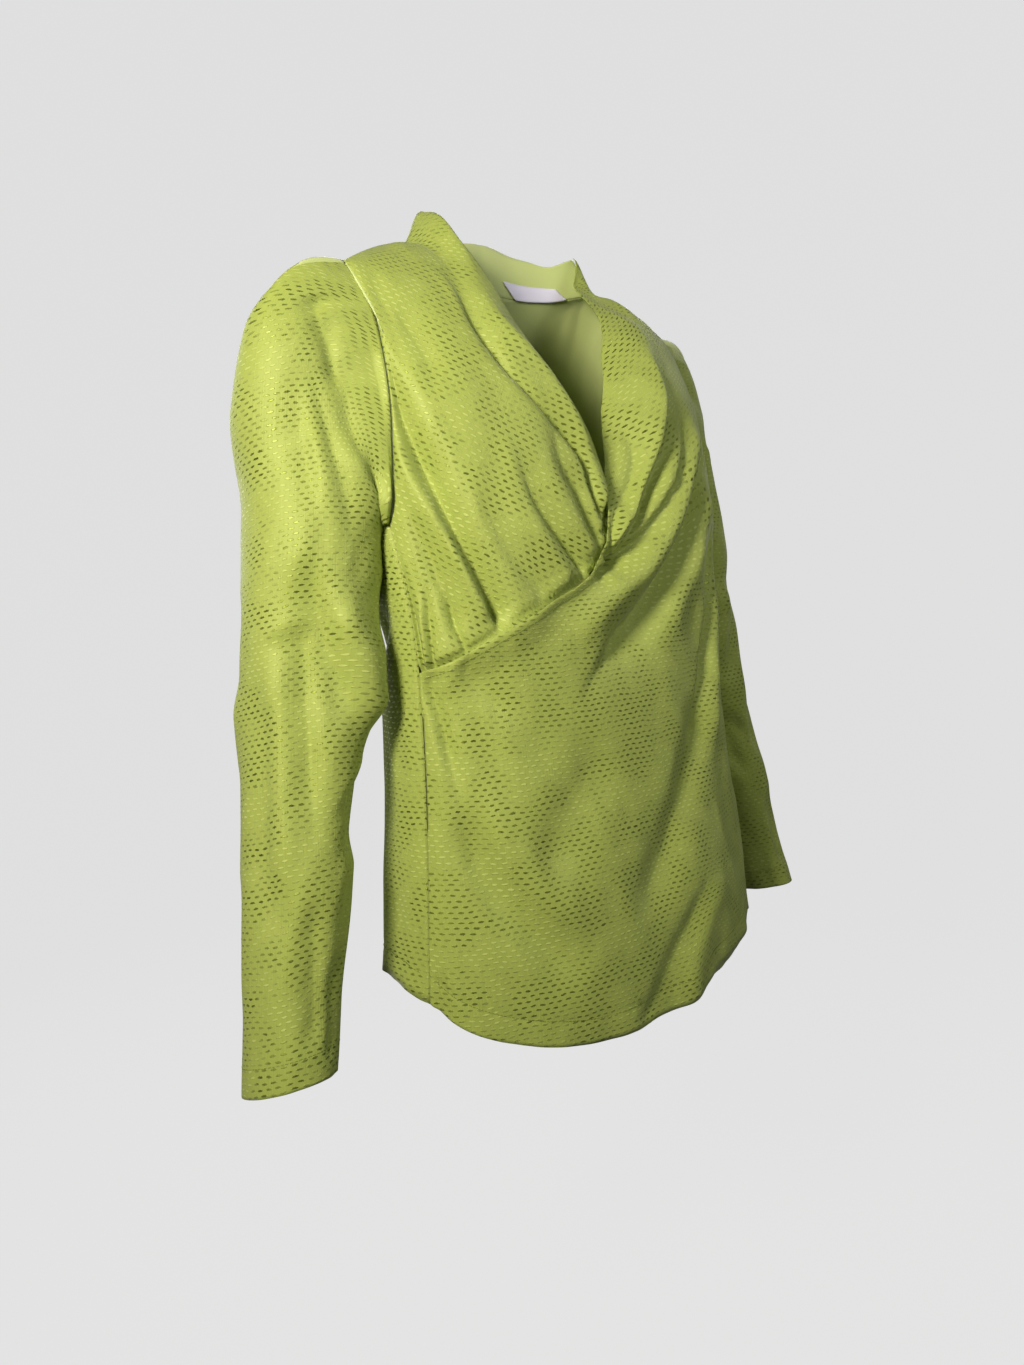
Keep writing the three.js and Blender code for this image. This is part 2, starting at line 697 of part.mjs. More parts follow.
// Point of a sleeve section, for a left sleeve. Turns run round from the wearer's body.
function sleeveSection(row, turnShare) {
  const section = atRow(SLEEVE_SECTIONS, ['z', 'x', 'y', 'outer', 'inner', 'depth'], row);
  const angle = 2 * Math.PI * turnShare;
  const toBody = Math.cos(angle);
  return new THREE.Vector3(
    section.x - toBody * (toBody > 0 ? section.inner : section.outer),
    section.y - Math.sin(angle) * section.depth,
    section.z,
  );
}

// Point of the armhole seam, for a left sleeve: the right one is mirrored afterwards.
// Side is 1 for the wearer's left and -1 for the right.
function armholePoint(side, turnShare) {
  const place = turnShare < 0.5 ? armholeFront(1 - 2 * turnShare) : armholeBack(2 * turnShare - 1);
  const point = bodyPoint(side * place.x, place.y);
  point.x = point.x * side + ARMHOLE_GAP;
  return point;
}

// Point of the sleeve cap, which leaves the armhole sideways and comes down into the arm
function capPoint(side, share, turnShare) {
  const topShare = (1 - Math.cos(2 * Math.PI * turnShare)) / 2;
  const start = armholePoint(side, turnShare);
  const end = sleeveSection(0, turnShare);
  const reach = THREE.MathUtils.lerp(CAP_REACH_LOW, CAP_REACH_TOP, topShare);
  const fall = THREE.MathUtils.lerp(CAP_FALL_LOW, CAP_FALL_TOP, topShare);
  const curve = new THREE.CubicBezierCurve3(
    start,
    start.clone().add(new THREE.Vector3(reach, 0, CAP_LIFT * topShare)),
    end.clone().add(new THREE.Vector3(0, 0, fall)),
    end,
  );
  return curve.getPoint(share);
}

function sleeve(name, side) {
  const outer = [];
  for (let ring = 0; ring <= CAP_RINGS + ARM_RINGS; ring += 1) {
    const column = [];
    for (let step = 0; step < SLEEVE_AROUND; step += 1) {
      const turnShare = step / SLEEVE_AROUND;
      const point = ring < CAP_RINGS
        ? capPoint(side, ring / CAP_RINGS, turnShare)
        : sleeveSection((SLEEVE_SECTIONS.length - 1) * (ring - CAP_RINGS) / ARM_RINGS, turnShare);
      point.x *= side;
      column.push(point);
    }
    outer.push(column);
  }
  const inner = outer.map((column, i) => {
    const middle = new THREE.Vector3();
    column.forEach((point) => middle.addScaledVector(point, 1 / SLEEVE_AROUND));
    return column.map((point, j) => {
      const facing = squareTo(outer, i, j, true);
      const atArmhole = i === 0;
      if (atArmhole) {
        facing.setX(0).normalize();
      }
      if (facing.dot(point.clone().sub(middle)) < 0) {
        facing.negate();
      }
      return point.clone().addScaledVector(facing, -WALL);
    });
  });
  return piece(name, wallGeometry(outer, inner, true), SATIN);
}

// Band round the back of the neck, from collar peak to collar peak
const standTop = line(STAND_TOP.map(({ x, y, z }) => new THREE.Vector3(x, y, z)));

function standPoint(u, v) {
  const share = Math.abs(2 * u - 1);
  const side = u < 0.5 ? -1 : 1;
  const place = backNeck(1 - share);
  const bottom = bodyPoint(180 - side * (180 - place.x), place.y);
  bottom.add(new THREE.Vector3(0, SEAM_GAP, 1.5 * SEAM_GAP));
  const peak = standTop(1 - share);
  peak.x *= side;
  peak.z -= BODY_SECTIONS[0].rightLift * peak.x / SHOULDER_TIP;
  return bottom.lerp(peak, v);
}

// Wall of a grid, laid on the side away from the wearer's back
function towardsNeck(outer, depth) {
  return outer.map((column, i) => column.map((point, j) => {
    const facing = squareTo(outer, i, j, false);
    if (facing.y < 0) {
      facing.negate();
    }
    return point.clone().addScaledVector(facing, -depth);
  }));
}

function collarStand() {
  const outer = sample(standPoint, ...STAND_GRID);
  return piece('collar_stand', wallGeometry(outer, towardsNeck(outer, WALL), false), SATIN);
}

// Blank woven label sewn inside the stand
function label() {
  const stand = sample((u, v) => {
    const across = LABEL_CENTRE + (u - 0.5) * LABEL_LENGTH;
    return standPoint(0.5 + across / (2 * NECK_POINT), LABEL_FOOT + v * LABEL_DROP / STAND_HEIGHT);
  }, ...LABEL_GRID);
  const face = towardsNeck(stand, WALL + 2 * SEAM_GAP);
  return piece('label', wallGeometry(face, towardsNeck(face, LABEL_WALL), false), LABEL_TAPE);
}

const wrapTop = new THREE.Group();
const onRight = (surfacePatch) => (u, v) => mirrored((t) => surfacePatch(t, v))(u);
wrapTop.add(panel('left_front', overPatch, FRONT_GRID, overRelief, -SEAM_GAP / 2));
wrapTop.add(panel('right_front', onRight(underPatch), FRONT_GRID, underRelief, -SEAM_GAP / 2));
wrapTop.add(panel('back', backPatch, BACK_GRID, backRelief, SEAM_GAP / 2));
wrapTop.add(collarStand());
wrapTop.add(label());
wrapTop.add(sleeve('right_sleeve', -1));
wrapTop.add(sleeve('left_sleeve', 1));
export default wrapTop;
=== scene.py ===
import math
from functools import partial

import bmesh
import bpy
import numpy as np
from mathutils import Matrix, Vector


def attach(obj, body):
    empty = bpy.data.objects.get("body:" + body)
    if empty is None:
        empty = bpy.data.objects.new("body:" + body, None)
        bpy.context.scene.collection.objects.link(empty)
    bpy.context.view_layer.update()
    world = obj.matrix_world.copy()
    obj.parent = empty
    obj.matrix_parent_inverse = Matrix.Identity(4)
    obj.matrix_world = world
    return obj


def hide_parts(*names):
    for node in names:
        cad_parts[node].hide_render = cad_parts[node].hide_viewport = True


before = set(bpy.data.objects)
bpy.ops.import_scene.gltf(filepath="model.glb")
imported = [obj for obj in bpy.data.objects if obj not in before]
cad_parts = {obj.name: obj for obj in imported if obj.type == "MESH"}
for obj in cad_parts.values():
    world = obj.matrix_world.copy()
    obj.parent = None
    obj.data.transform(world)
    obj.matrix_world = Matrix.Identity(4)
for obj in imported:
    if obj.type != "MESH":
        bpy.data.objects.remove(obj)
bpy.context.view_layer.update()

# Satin wrap top, hollow and filled out as worn. Tables are in millimetres and degrees. +X is
# the wearer's left, -Y the front and +Z up. A place on the body form is (turn, row): degrees
# round from centre front, and a fractional count of the sections.
MM = 0.001
ROOT = "root"

# Sections of the body form, from the shoulder ridge to below the hem: height, half width,
# depth in front, depth behind, centre y, squareness, drop and forward slope to the shoulder
# tip, rise of the collar, and how much higher the right shoulder is carried
BODY_SECTIONS = np.array([
    (0, 186, 0.6, 0.6, 24, 2.0, 34, 22, 30, 7),
    (-8, 187, 24, 22, 18, 2.0, 33, 20, 25, 7),
    (-28, 187, 46, 42, 11, 2.05, 29, 17, 15, 6),
    (-64, 187, 68, 66, 2, 2.1, 20, 11, 6, 5),
    (-125, 187, 84, 86, -10, 2.3, 8, 4, 0, 3),
    (-215, 186, 86, 90, -22, 2.4, 0, 0, 0, 0),
    (-290, 184, 84, 88, -26, 2.3, 0, 0, 0, 0),
    (-370, 186, 86, 88, -28, 2.25, 0, 0, 0, 0),
    (-470, 193, 92, 96, -31, 2.2, 0, 0, 0, 0),
    (-560, 200, 98, 102, -33, 2.2, 0, 0, 0, 0),
    (-680, 206, 102, 106, -34, 2.2, 0, 0, 0, 0),
])
ROWS = len(BODY_SECTIONS) - 1
RIGHT_LIFT = 7
NECK_POINT = 112
COLLAR_PEAK = 90
SHOULDER_TIP = 186
SHOULDER_ROUND = 1.35
SLOPE_REACH = 1.3

# Seam lines as (turn, z) on the form, and front edges as (x, z) seen from the front
SIDE_SEAM = [(86, -224), (80, -285), (77, -336), (76, -440), (77, -584)]
ARMHOLE_FRONT = [(90, -34), (80, -50), (75, -80), (76, -125), (79, -170), (82, -200), (86, -224)]
ARMHOLE_BACK = [(90, -34), (99, -52), (107, -85), (110, -130), (106, -175), (97, -208), (86, -224)]
OVER_EDGE = [
    (90, 30), (88, 8), (76, -22), (58, -52), (42, -84), (24, -122), (8, -160), (-8, -196),
    (-25, -233), (-48, -266), (-96, -291), (-138, -312), (-165, -328),
]
UNDER_EDGE = [
    (90, 30), (92, 8), (85, -20), (74, -50), (62, -82), (45, -114), (29, -145), (21, -175),
    (17, -207), (6, -240), (-14, -266), (-50, -286), (-96, -302), (-138, -318), (-165, -330),
]
HEM = [(77, -584), (60, -606), (40, -624), (20, -635), (0, -637)]
BACK_HEM = [(77, -584), (94, -573), (116, -575), (140, -592), (160, -609), (180, -615)]
BACK_NECK = [(112, 0), (84, -7), (48, -13), (0, -15)]
STAND_TOP = [(90, 26, 30), (66, 42, 26), (34, 52, 22), (0, 55, 20)]
UNDER_HEM_RAISE = 5
UNDER_SEAM_END = -579

# How far each neckline edge rolls inwards, as (z, depth)
OVER_ROLL = [
    (10, 0), (-23, 10), (-65, 28), (-122, 32), (-160, 26), (-200, 15), (-232, 4), (-255, 0),
]
UNDER_ROLL = [(10, 0), (-20, 4), (-65, 11), (-122, 12), (-175, 8), (-215, 2), (-240, 0)]
ROLL_WIDTH = 42
# The right front lies this far under the left one, and dips within this width of its edge.
# The left front's edge stands up a little from the crossing onwards
LAYER_DEPTH, DIP_WIDTH = 5.0, 6
WRAP_START, WRAP_LIFT_RUN, WRAP_LIFT, WRAP_LIFT_WIDTH = -255, 20, 3.4, 6
# Millimetres of cloth round the body for each degree of turn
GIRTH_PER_DEGREE = 3.3

# Sleeve sections for the wearer's left: z, x, y, outer and inner half width, half depth
SLEEVE_SECTIONS = np.array([
    (-236, 223, 20, 48, 37, 55),
    (-320, 236, 16, 47, 47, 53),
    (-380, 247, 10, 44, 44, 50),
    (-440, 259, 3, 41, 41, 46),
    (-500, 272, -5, 38, 38, 43),
    (-560, 286, -13, 35, 35, 39),
    (-614, 298, -22, 33, 33, 37),
])
# The sleeve's cap: how far its cloth runs out from the armhole and comes down to the arm, at
# the top and at the underarm, and the share of the sleeve's length that it takes
CAP_REACH_TOP, CAP_REACH_LOW = 72, 5
CAP_FALL_TOP, CAP_FALL_LOW = 160, 7
CAP_FALL_LEAN = (-0.12, 0.04, 1)
CAP_LIFT = 2
CAP_BLEND = 0.45
CAP_SHARE = 1 / 3
# The cuff's tilt and drop, and how the far sleeve differs: less tilt, and closer in
CUFF_START, CUFF_TILT, CUFF_DROP = 0.7, 0.3, 4
FAR_CUFF_SHARE, FAR_ARM_IN, FAR_ARM_REACH = 0.4, 1, 0.4
# Millimetres of cloth round a sleeve for each degree of turn
SLEEVE_PER_DEGREE = 0.82


def at_row(table, row):
    """Smooth value of every column of a table at fractional rows."""
    row = np.asarray(row, float)
    place = np.clip(row, 0, len(table) - 1 - 1e-6)
    index = np.floor(place).astype(int)
    ends = np.vstack([2 * table[0] - table[1], table, 2 * table[-1] - table[-2]])
    a, b, c, d = (ends[index + k] for k in range(4))
    t = (place - index)[..., None]
    square = 2 * a - 5 * b + 4 * c - d
    cube = 3 * b - a - 3 * c + d
    return 0.5 * (2 * b + (c - a) * t + square * t**2 + cube * t**3)


def smooth(value):
    t = np.clip(value, 0, 1)
    return t * t * (3 - 2 * t)


def ramp(value, start, end):
    """Smooth rise from 0 at start to 1 at end."""
    return smooth((value - start) / (end - start))


def signed_power(value, power):
    return np.sign(value) * np.abs(value) ** power


def body_point(turn, row):
    """Points of the body form."""
    s = np.moveaxis(at_row(BODY_SECTIONS, row), -1, 0)
    z, half_width, front, back, centre_y, squareness, drop, forward, rise, lift = s
    angle = np.radians(turn)
    across = signed_power(np.sin(angle), 2 / squareness)
    ahead = signed_power(np.cos(angle), 2 / squareness)
    in_front = np.cos(angle) > 0
    x = half_width * across
    slope = np.clip((np.abs(x) - NECK_POINT) / (SHOULDER_TIP - NECK_POINT), 0, SLOPE_REACH)
    slope = slope**SHOULDER_ROUND
    collar = smooth((NECK_POINT - np.abs(x)) / (NECK_POINT - COLLAR_PEAK))
    y = centre_y - np.where(in_front, front, back) * ahead - forward * slope
    z = z - drop * slope + np.where(in_front, rise * collar, 0) - lift * x / SHOULDER_TIP
    return np.stack([x, y, z], -1)


def level_height(turn, row):
    """Height of the form with its shoulders level, which the seam tables refer to."""
    return (body_point(turn, row)[..., 2] + body_point(-np.asarray(turn), row)[..., 2]) / 2


def row_at(height, z):
    """Row at which the form has a height, by halving."""
    low, high = 0.0, float(ROWS)
    for _ in range(40):
        middle = (low + high) / 2
        if height(middle) > z:
            low = middle
        else:
            high = middle
    return (low + high) / 2


def place_on_turn(turn, z):
    return (turn, row_at(lambda row: level_height(turn, row), z))


def turn_at(x, row):
    half_width, squareness = at_row(BODY_SECTIONS, row)[[1, 5]]
    share = min(1, abs(x) / half_width)
    return math.copysign(math.degrees(math.asin(share ** (squareness / 2))), x)


def place_on_front(x, z):
    row = row_at(lambda r: level_height(turn_at(x, r), r), z)
    return (turn_at(x, row), row)


def place_on_back(x, z):
    row = row_at(lambda r: level_height(180 - turn_at(x, r), r), z)
    return (180 - turn_at(x, row), row)


def line(points):
    """Smooth centripetal line through points, as a function of shares from 0 to 1."""
    p = np.asarray(points, float)
    p = np.vstack([2 * p[0] - p[1], p, 2 * p[-1] - p[-2]])
    gaps = np.maximum(np.sum(np.diff(p, axis=0) ** 2, 1) ** 0.25, 1e-4)

    def at(t):
        place = np.clip(np.asarray(t, float) * (len(p) - 3), 0, len(p) - 3 - 1e-9)
        k = np.floor(place).astype(int)
        w = (place - k)[..., None]
        p0, p1, p2, p3 = (p[k + i] for i in range(4))
        g0, g1, g2 = (gaps[k + i][..., None] for i in range(3))
        t1 = ((p1 - p0) / g0 - (p2 - p0) / (g0 + g1) + (p2 - p1) / g1) * g1
        t2 = ((p2 - p1) / g1 - (p3 - p1) / (g1 + g2) + (p3 - p2) / g2) * g1
        square = 3 * (p2 - p1) - 2 * t1 - t2
        cube = 2 * (p1 - p2) + t1 + t2
        return p1 + t1 * w + square * w**2 + cube * w**3

    return at


def chain(*parts):
    """Lines end to end, each given as (share, line)."""
    ends = np.cumsum([0] + [share for share, _ in parts])

    def at(t):
        t = np.asarray(t, float) * ends[-1]
        out = np.zeros(t.shape + (2,))
        for k, (share, part) in enumerate(parts):
            inside = (t >= ends[k] - 1e-9) & (t <= ends[k + 1] + 1e-9)
            out[inside] = part((t[inside] - ends[k]) / share)
        return out

    return at


def mirrored(curve):
    return lambda t: curve(t) * (-1, 1)


def reversed_line(curve):
    return lambda t: curve(1 - np.asarray(t, float))


def round_back(curve):
    return lambda t: curve(t) * (-1, 1) + (360, 0)


def patch(bottom, top, left, right):
    """Patch of places between four lines that meet at the corners."""
    b0, b1, t0, t1 = bottom(0.0), bottom(1.0), top(0.0), top(1.0)

    def at(u, v):
        lr = left(v) * (1 - u)[..., None] + right(v) * u[..., None]
        bt = bottom(u) * (1 - v)[..., None] + top(u) * v[..., None]
        u, v = u[..., None], v[..., None]
        low = b0 * (1 - u) + b1 * u
        high = t0 * (1 - u) + t1 * u
        return lr + bt - low * (1 - v) - high * v

    return at


def ridge_turn(x):
    return math.degrees(math.asin(x / SHOULDER_TIP))


side_seam = line([place_on_turn(*p) for p in SIDE_SEAM])
armhole_front = line([place_on_turn(*p) for p in ARMHOLE_FRONT])
armhole_back = line([place_on_turn(*p) for p in ARMHOLE_BACK])
SHOULDER_X = (NECK_POINT, 122, 134, 148, 166, SHOULDER_TIP)
COLLAR_X = (COLLAR_PEAK, 96, 104, NECK_POINT)
front_shoulder = line([(ridge_turn(x), 0) for x in SHOULDER_X])
back_shoulder = line([(180 - ridge_turn(x), 0) for x in SHOULDER_X])
collar_end = line([(ridge_turn(x), 0) for x in COLLAR_X])
hem_line = line([place_on_turn(*p) for p in HEM])
under_hem_line = line([place_on_turn(turn, z + UNDER_HEM_RAISE) for turn, z in HEM])
under_seam = line([place_on_turn(turn, max(z, UNDER_SEAM_END)) for turn, z in SIDE_SEAM])
wrap_end = side_seam(0.5) * (-1, 1)
over_edge = line([place_on_front(*p) for p in OVER_EDGE] + [wrap_end])
under_edge = line([place_on_front(*p) for p in UNDER_EDGE] + [wrap_end])
back_hem = line([place_on_turn(*p) for p in BACK_HEM])
back_neck = line([place_on_back(*p) for p in BACK_NECK])

# Shares of a panel's outline that its seams take
SEAM_PART, ARMHOLE_PART, SHOULDER_PART, COLLAR_PART, NECK_PART = 13, 10, 4, 2, 8


def whole_front(hem):
    return chain((1, mirrored(hem)), (1, reversed_line(hem)))


def whole_back(hem):
    return chain((1, hem), (1, reversed_line(round_back(hem))))


def front_patch(hem, edge, seam):
    """A front, from the far side seam that it wraps to, to its own seams and collar end."""
    outer = chain(
        (SEAM_PART, reversed_line(seam)),
        (ARMHOLE_PART, reversed_line(armhole_front)),
        (SHOULDER_PART, reversed_line(front_shoulder)),
        (COLLAR_PART, reversed_line(collar_end)),
    )

    def wrap_side(v):
        return mirrored(seam)(1 - v / 2)

    return patch(whole_front(hem), reversed_line(edge), wrap_side, outer)


over_patch = front_patch(hem_line, over_edge, side_seam)
under_patch = front_patch(under_hem_line, under_edge, under_seam)
back_patch = patch(
    whole_back(back_hem),
    chain(
        (SHOULDER_PART, reversed_line(back_shoulder)),
        (NECK_PART, back_neck),
        (NECK_PART, reversed_line(round_back(back_neck))),
        (SHOULDER_PART, round_back(back_shoulder)),
    ),
    chain((SEAM_PART, reversed_line(side_seam)), (ARMHOLE_PART, reversed_line(armhole_back))),
    chain(
        (SEAM_PART, round_back(reversed_line(side_seam))),
        (ARMHOLE_PART, round_back(reversed_line(armhole_back))),
    ),
)

# Places on the form as millimetres of cloth: round from centre front, and down from the ridge
ARC_TURNS = np.arange(-120, 481, 1.0)
ARC_ROWS = np.linspace(0, ROWS, 101)
WAIST_ROW = 7
arc_grid = body_point(*np.meshgrid(ARC_TURNS, ARC_ROWS, indexing="ij"))


def between(table, i, j, a, b):
    """Value of a table between four neighbouring cells, a and b of the way across."""
    low = table[i, j] * (1 - a) + table[i + 1, j] * a
    high = table[i, j + 1] * (1 - a) + table[i + 1, j + 1] * a
    return low * (1 - b) + high * b


def running_length(points, axis):
    steps = np.linalg.norm(np.diff(points, axis=axis), axis=-1)
    start = np.zeros_like(np.take(steps, [0], axis))
    return np.cumsum(np.concatenate([start, steps], axis), axis)


girth_table = running_length(arc_grid, 0)
girth_table = girth_table - girth_table[ARC_TURNS == 0]
drop_table = running_length(arc_grid, 1)
drop_table = drop_table - drop_table[:, ARC_ROWS == WAIST_ROW] - BODY_SECTIONS[WAIST_ROW, 0]


def table_value(table, turn, row):
    i = np.clip(turn - ARC_TURNS[0], 0, len(ARC_TURNS) - 1.001)
    j = np.clip(row / ARC_ROWS[1], 0, len(ARC_ROWS) - 1.001)
    i0, j0 = i.astype(int), j.astype(int)
    return between(table, i0, j0, i - i0, j - j0)


def flat_place(turn, row):
    return np.stack([np.asarray(turn) * GIRTH_PER_DEGREE, level_height(turn, row)], -1)


def nearest(points, at):
    """Distance from places to a polyline, share of the way along it, and the side."""
    best = np.full(len(at), np.inf)
    share = np.zeros(len(at))
    side = np.ones(len(at))
    for k in range(len(points) - 1):
        span = points[k + 1] - points[k]
        away = at - points[k]
        t = np.clip(away @ span / (span @ span), 0, 1)
        distance = np.linalg.norm(away - t[:, None] * span, axis=1)
        closer = distance < best
        best[closer] = distance[closer]
        share[closer] = ((k + t) / (len(points) - 1))[closer]
        side[closer] = np.sign(span[0] * away[:, 1] - span[1] * away[:, 0])[closer]
    return best, share, side


# Folds of the cloth, placed as the photograph shows them, with similar ones of their
# own at the back. Each row is: height, negative for a valley; width on the left and on the right
# of the path; how crisp it is, from 0 for soft to 1 for a crease; the shares of its length
# over which it fades in and fades out; and the path as (turn, z).
OVER_FOLDS = [
    # rolled band along the neckline, down to the crossing
    (-6, 6, 10, 0.6, 0.3, 0.05, [(6, -130), (6, -172), (1, -207), (-4, -235), (-7, -261)]),
    (6, 13, 6, 0.2, 0.3, 0.08, [(27, -51), (22, -94), (17, -132), (11, -165),
        (5, -196), (-1, -230), (-8, -258)]),
    (-9, 5, 11, 0.6, 0.45, 0.06, [(24, -120), (20, -149), (13, -179), (7, -208),
        (1, -236), (-4, -259), (-12, -273)]),
    (5, 8, 8, 0.1, 0.3, 0.08, [(30, -130), (24, -165), (15, -195), (5, -228), (-5, -262)]),
    (-8, 6, 14, 0.6, 0.45, 0.1, [(36, -120), (29, -146), (21, -184), (10, -220), (1, -247), (-8, -268)]),
    # long crease across the front, and the soft rolls on both sides of it
    (-12, 8, 24, 0.6, 0.25, 0.3, [(54, -118), (49, -153), (32, -194), (20, -241), (9, -280),
        (0, -311), (-9, -335), (-22, -378)]),
    (7, 16, 13, 0, 0.3, 0.3, [(44, -120), (36, -160), (22, -200), (10, -243),
        (0, -275), (-12, -303), (-26, -335)]),
    (5, 18, 18, 0, 0.3, 0.3, [(56, -165), (40, -215), (27, -262), (15, -300), (3, -345)]),
    # drags down the far side
    (-9, 7, 16, 0.5, 0.4, 0.4, [(56, -175), (50, -220), (40, -280), (33, -334), (26, -380), (19, -420)]),
    (-6, 10, 14, 0.4, 0.3, 0.3, [(60, -230), (56, -300), (55, -376), (52, -444), (55, -500)]),
    (4, 16, 16, 0, 0.3, 0.3, [(50, -250), (44, -320), (36, -390), (28, -450)]),
    (-6, 18, 22, 0.2, 0.3, 0.3, [(30, -380), (22, -410), (10, -465), (-1, -523), (-6, -560)]),
    (-4, 10, 24, 0.3, 0.45, 0.15, [(20, -530), (12, -557), (3, -586), (-3, -615), (-10, -640)]),
    (2, 16, 16, 0, 0.4, 0.2, [(28, -530), (20, -565), (10, -600), (5, -640)]),
    # belly and lower left
    (-5, 16, 26, 0.2, 0.3, 0.3, [(-66, -440), (-60, -462), (-52, -496), (-41, -532),
        (-32, -564), (-26, -590)]),
    (4, 20, 22, 0, 0.3, 0.3, [(-58, -420), (-46, -470), (-34, -515), (-22, -560)]),
    (-4, 22, 26, 0, 0.3, 0.3, [(-10, -400), (-20, -432), (-29, -470), (-38, -512)]),
    (-5, 8, 12, 0.4, 0.2, 0.4, [(-77, -335), (-71, -360), (-66, -395), (-60, -440)]),
    (-3, 10, 14, 0.2, 0.2, 0.4, [(-60, -326), (-50, -352), (-36, -385)]),
    (3, 9, 12, 0, 0.2, 0.3, [(-22, -290), (-40, -313), (-60, -334), (-72, -345)]),
    # left underarm and side
    (-5, 10, 12, 0.4, 0.1, 0.4, [(82, -205), (72, -240), (66, -290), (64, -340)]),
]
UNDER_FOLDS = [
    # long fold from the armhole to the wrap's edge, steep on its left
    (-10, 6, 24, 0.45, 0.45, 0.08, [(-76, -85), (-76, -125), (-70, -176), (-61, -215),
        (-53, -252), (-47, -284), (-42, -310)]),
    (3, 16, 9, 0, 0.5, 0.08, [(-79, -125), (-75, -170), (-67, -205), (-58, -242),
        (-51, -270), (-46, -300)]),
    (-3, 10, 14, 0.2, 0.5, 0.1, [(-80, -195), (-73, -230), (-65, -268), (-58, -312)]),
    # neckline: a sharp valley behind the turned strip
    (-8, 5, 15, 0.6, 0.3, 0.08, [(-39, -28), (-37, -57), (-35, -82), (-30, -109), (-24, -130),
        (-16, -155), (-10, -177), (-8, -204), (-5, -235)]),
    (4, 9, 8, 0, 0.25, 0.1, [(-30, -45), (-25, -80), (-16, -113), (-11, -141),
        (-8, -168), (-6, -199), (-5, -225)]),
    # fan of folds above the crossing
    (-6.5, 5, 15, 0.6, 0.7, 0.05, [(-22, -140), (-19, -158), (-18, -181), (-14, -203),
        (-11, -227), (-7, -255)]),
    (2, 9, 8, 0, 0.7, 0.08, [(-26, -150), (-24, -180), (-20, -206), (-15, -232), (-10, -256)]),
    (-6, 5, 17, 0.5, 0.7, 0.05, [(-34, -176), (-30, -194), (-26, -219), (-21, -239), (-13, -272)]),
    (2, 10, 10, 0, 0.7, 0.08, [(-38, -190), (-33, -215), (-26, -243), (-18, -275)]),
    (-3.5, 10, 20, 0.2, 0.6, 0.1, [(-47, -200), (-44, -214), (-39, -241), (-32, -267), (-26, -290)]),
    # gathers where the wrap's edge meets the side
    (-3.5, 5, 7, 0.4, 0.5, 0.05, [(-83, -245), (-80, -284), (-77, -314), (-75, -335)]),
    (-3, 5, 8, 0.4, 0.5, 0.05, [(-71, -262), (-71, -300), (-70, -335)]),
    (2, 6, 6, 0, 0.5, 0.05, [(-74, -270), (-74, -305), (-73, -335)]),
    (-3, 5, 8, 0.5, 0.5, 0.05, [(-63, -268), (-60, -300), (-56, -322)]),
    (-3, 16, 20, 0, 0.3, 0.3, [(-62, -60), (-58, -95), (-52, -130)]),
]
BACK_FOLDS = [
    (-7, 10, 20, 0.3, 0.2, 0.35, [(104, -178), (112, -205), (126, -245), (140, -300)]),
    (-8, 20, 11, 0.3, 0.2, 0.35, [(256, -174), (245, -210), (230, -255), (221, -310)]),
    (5, 16, 16, 0, 0.3, 0.3, [(118, -170), (132, -215), (146, -270)]),
    (5, 15, 18, 0, 0.3, 0.3, [(240, -165), (225, -220), (210, -285)]),
    (-6, 12, 22, 0.3, 0.2, 0.35, [(88, -300), (108, -338), (135, -366), (168, -384)]),
    (-7, 22, 12, 0.35, 0.2, 0.3, [(270, -285), (248, -325), (222, -358), (192, -392)]),
    (4, 18, 18, 0, 0.3, 0.3, [(100, -345), (130, -385), (160, -410)]),
    (-5, 18, 20, 0.1, 0.3, 0.3, [(84, -372), (104, -405), (124, -425)]),
    (-6, 18, 22, 0.2, 0.3, 0.2, [(143, -440), (136, -520), (131, -605)]),
    (-8, 24, 16, 0.25, 0.3, 0.2, [(222, -410), (230, -500), (234, -605)]),
    (5, 22, 22, 0, 0.3, 0.3, [(176, -430), (181, -520), (182, -630)]),
    (-4, 14, 14, 0.2, 0.3, 0.3, [(196, -30), (193, -70), (190, -120)]),
    (-4, 20, 20, 0, 0.3, 0.3, [(166, -40), (158, -110), (156, -170)]),
]
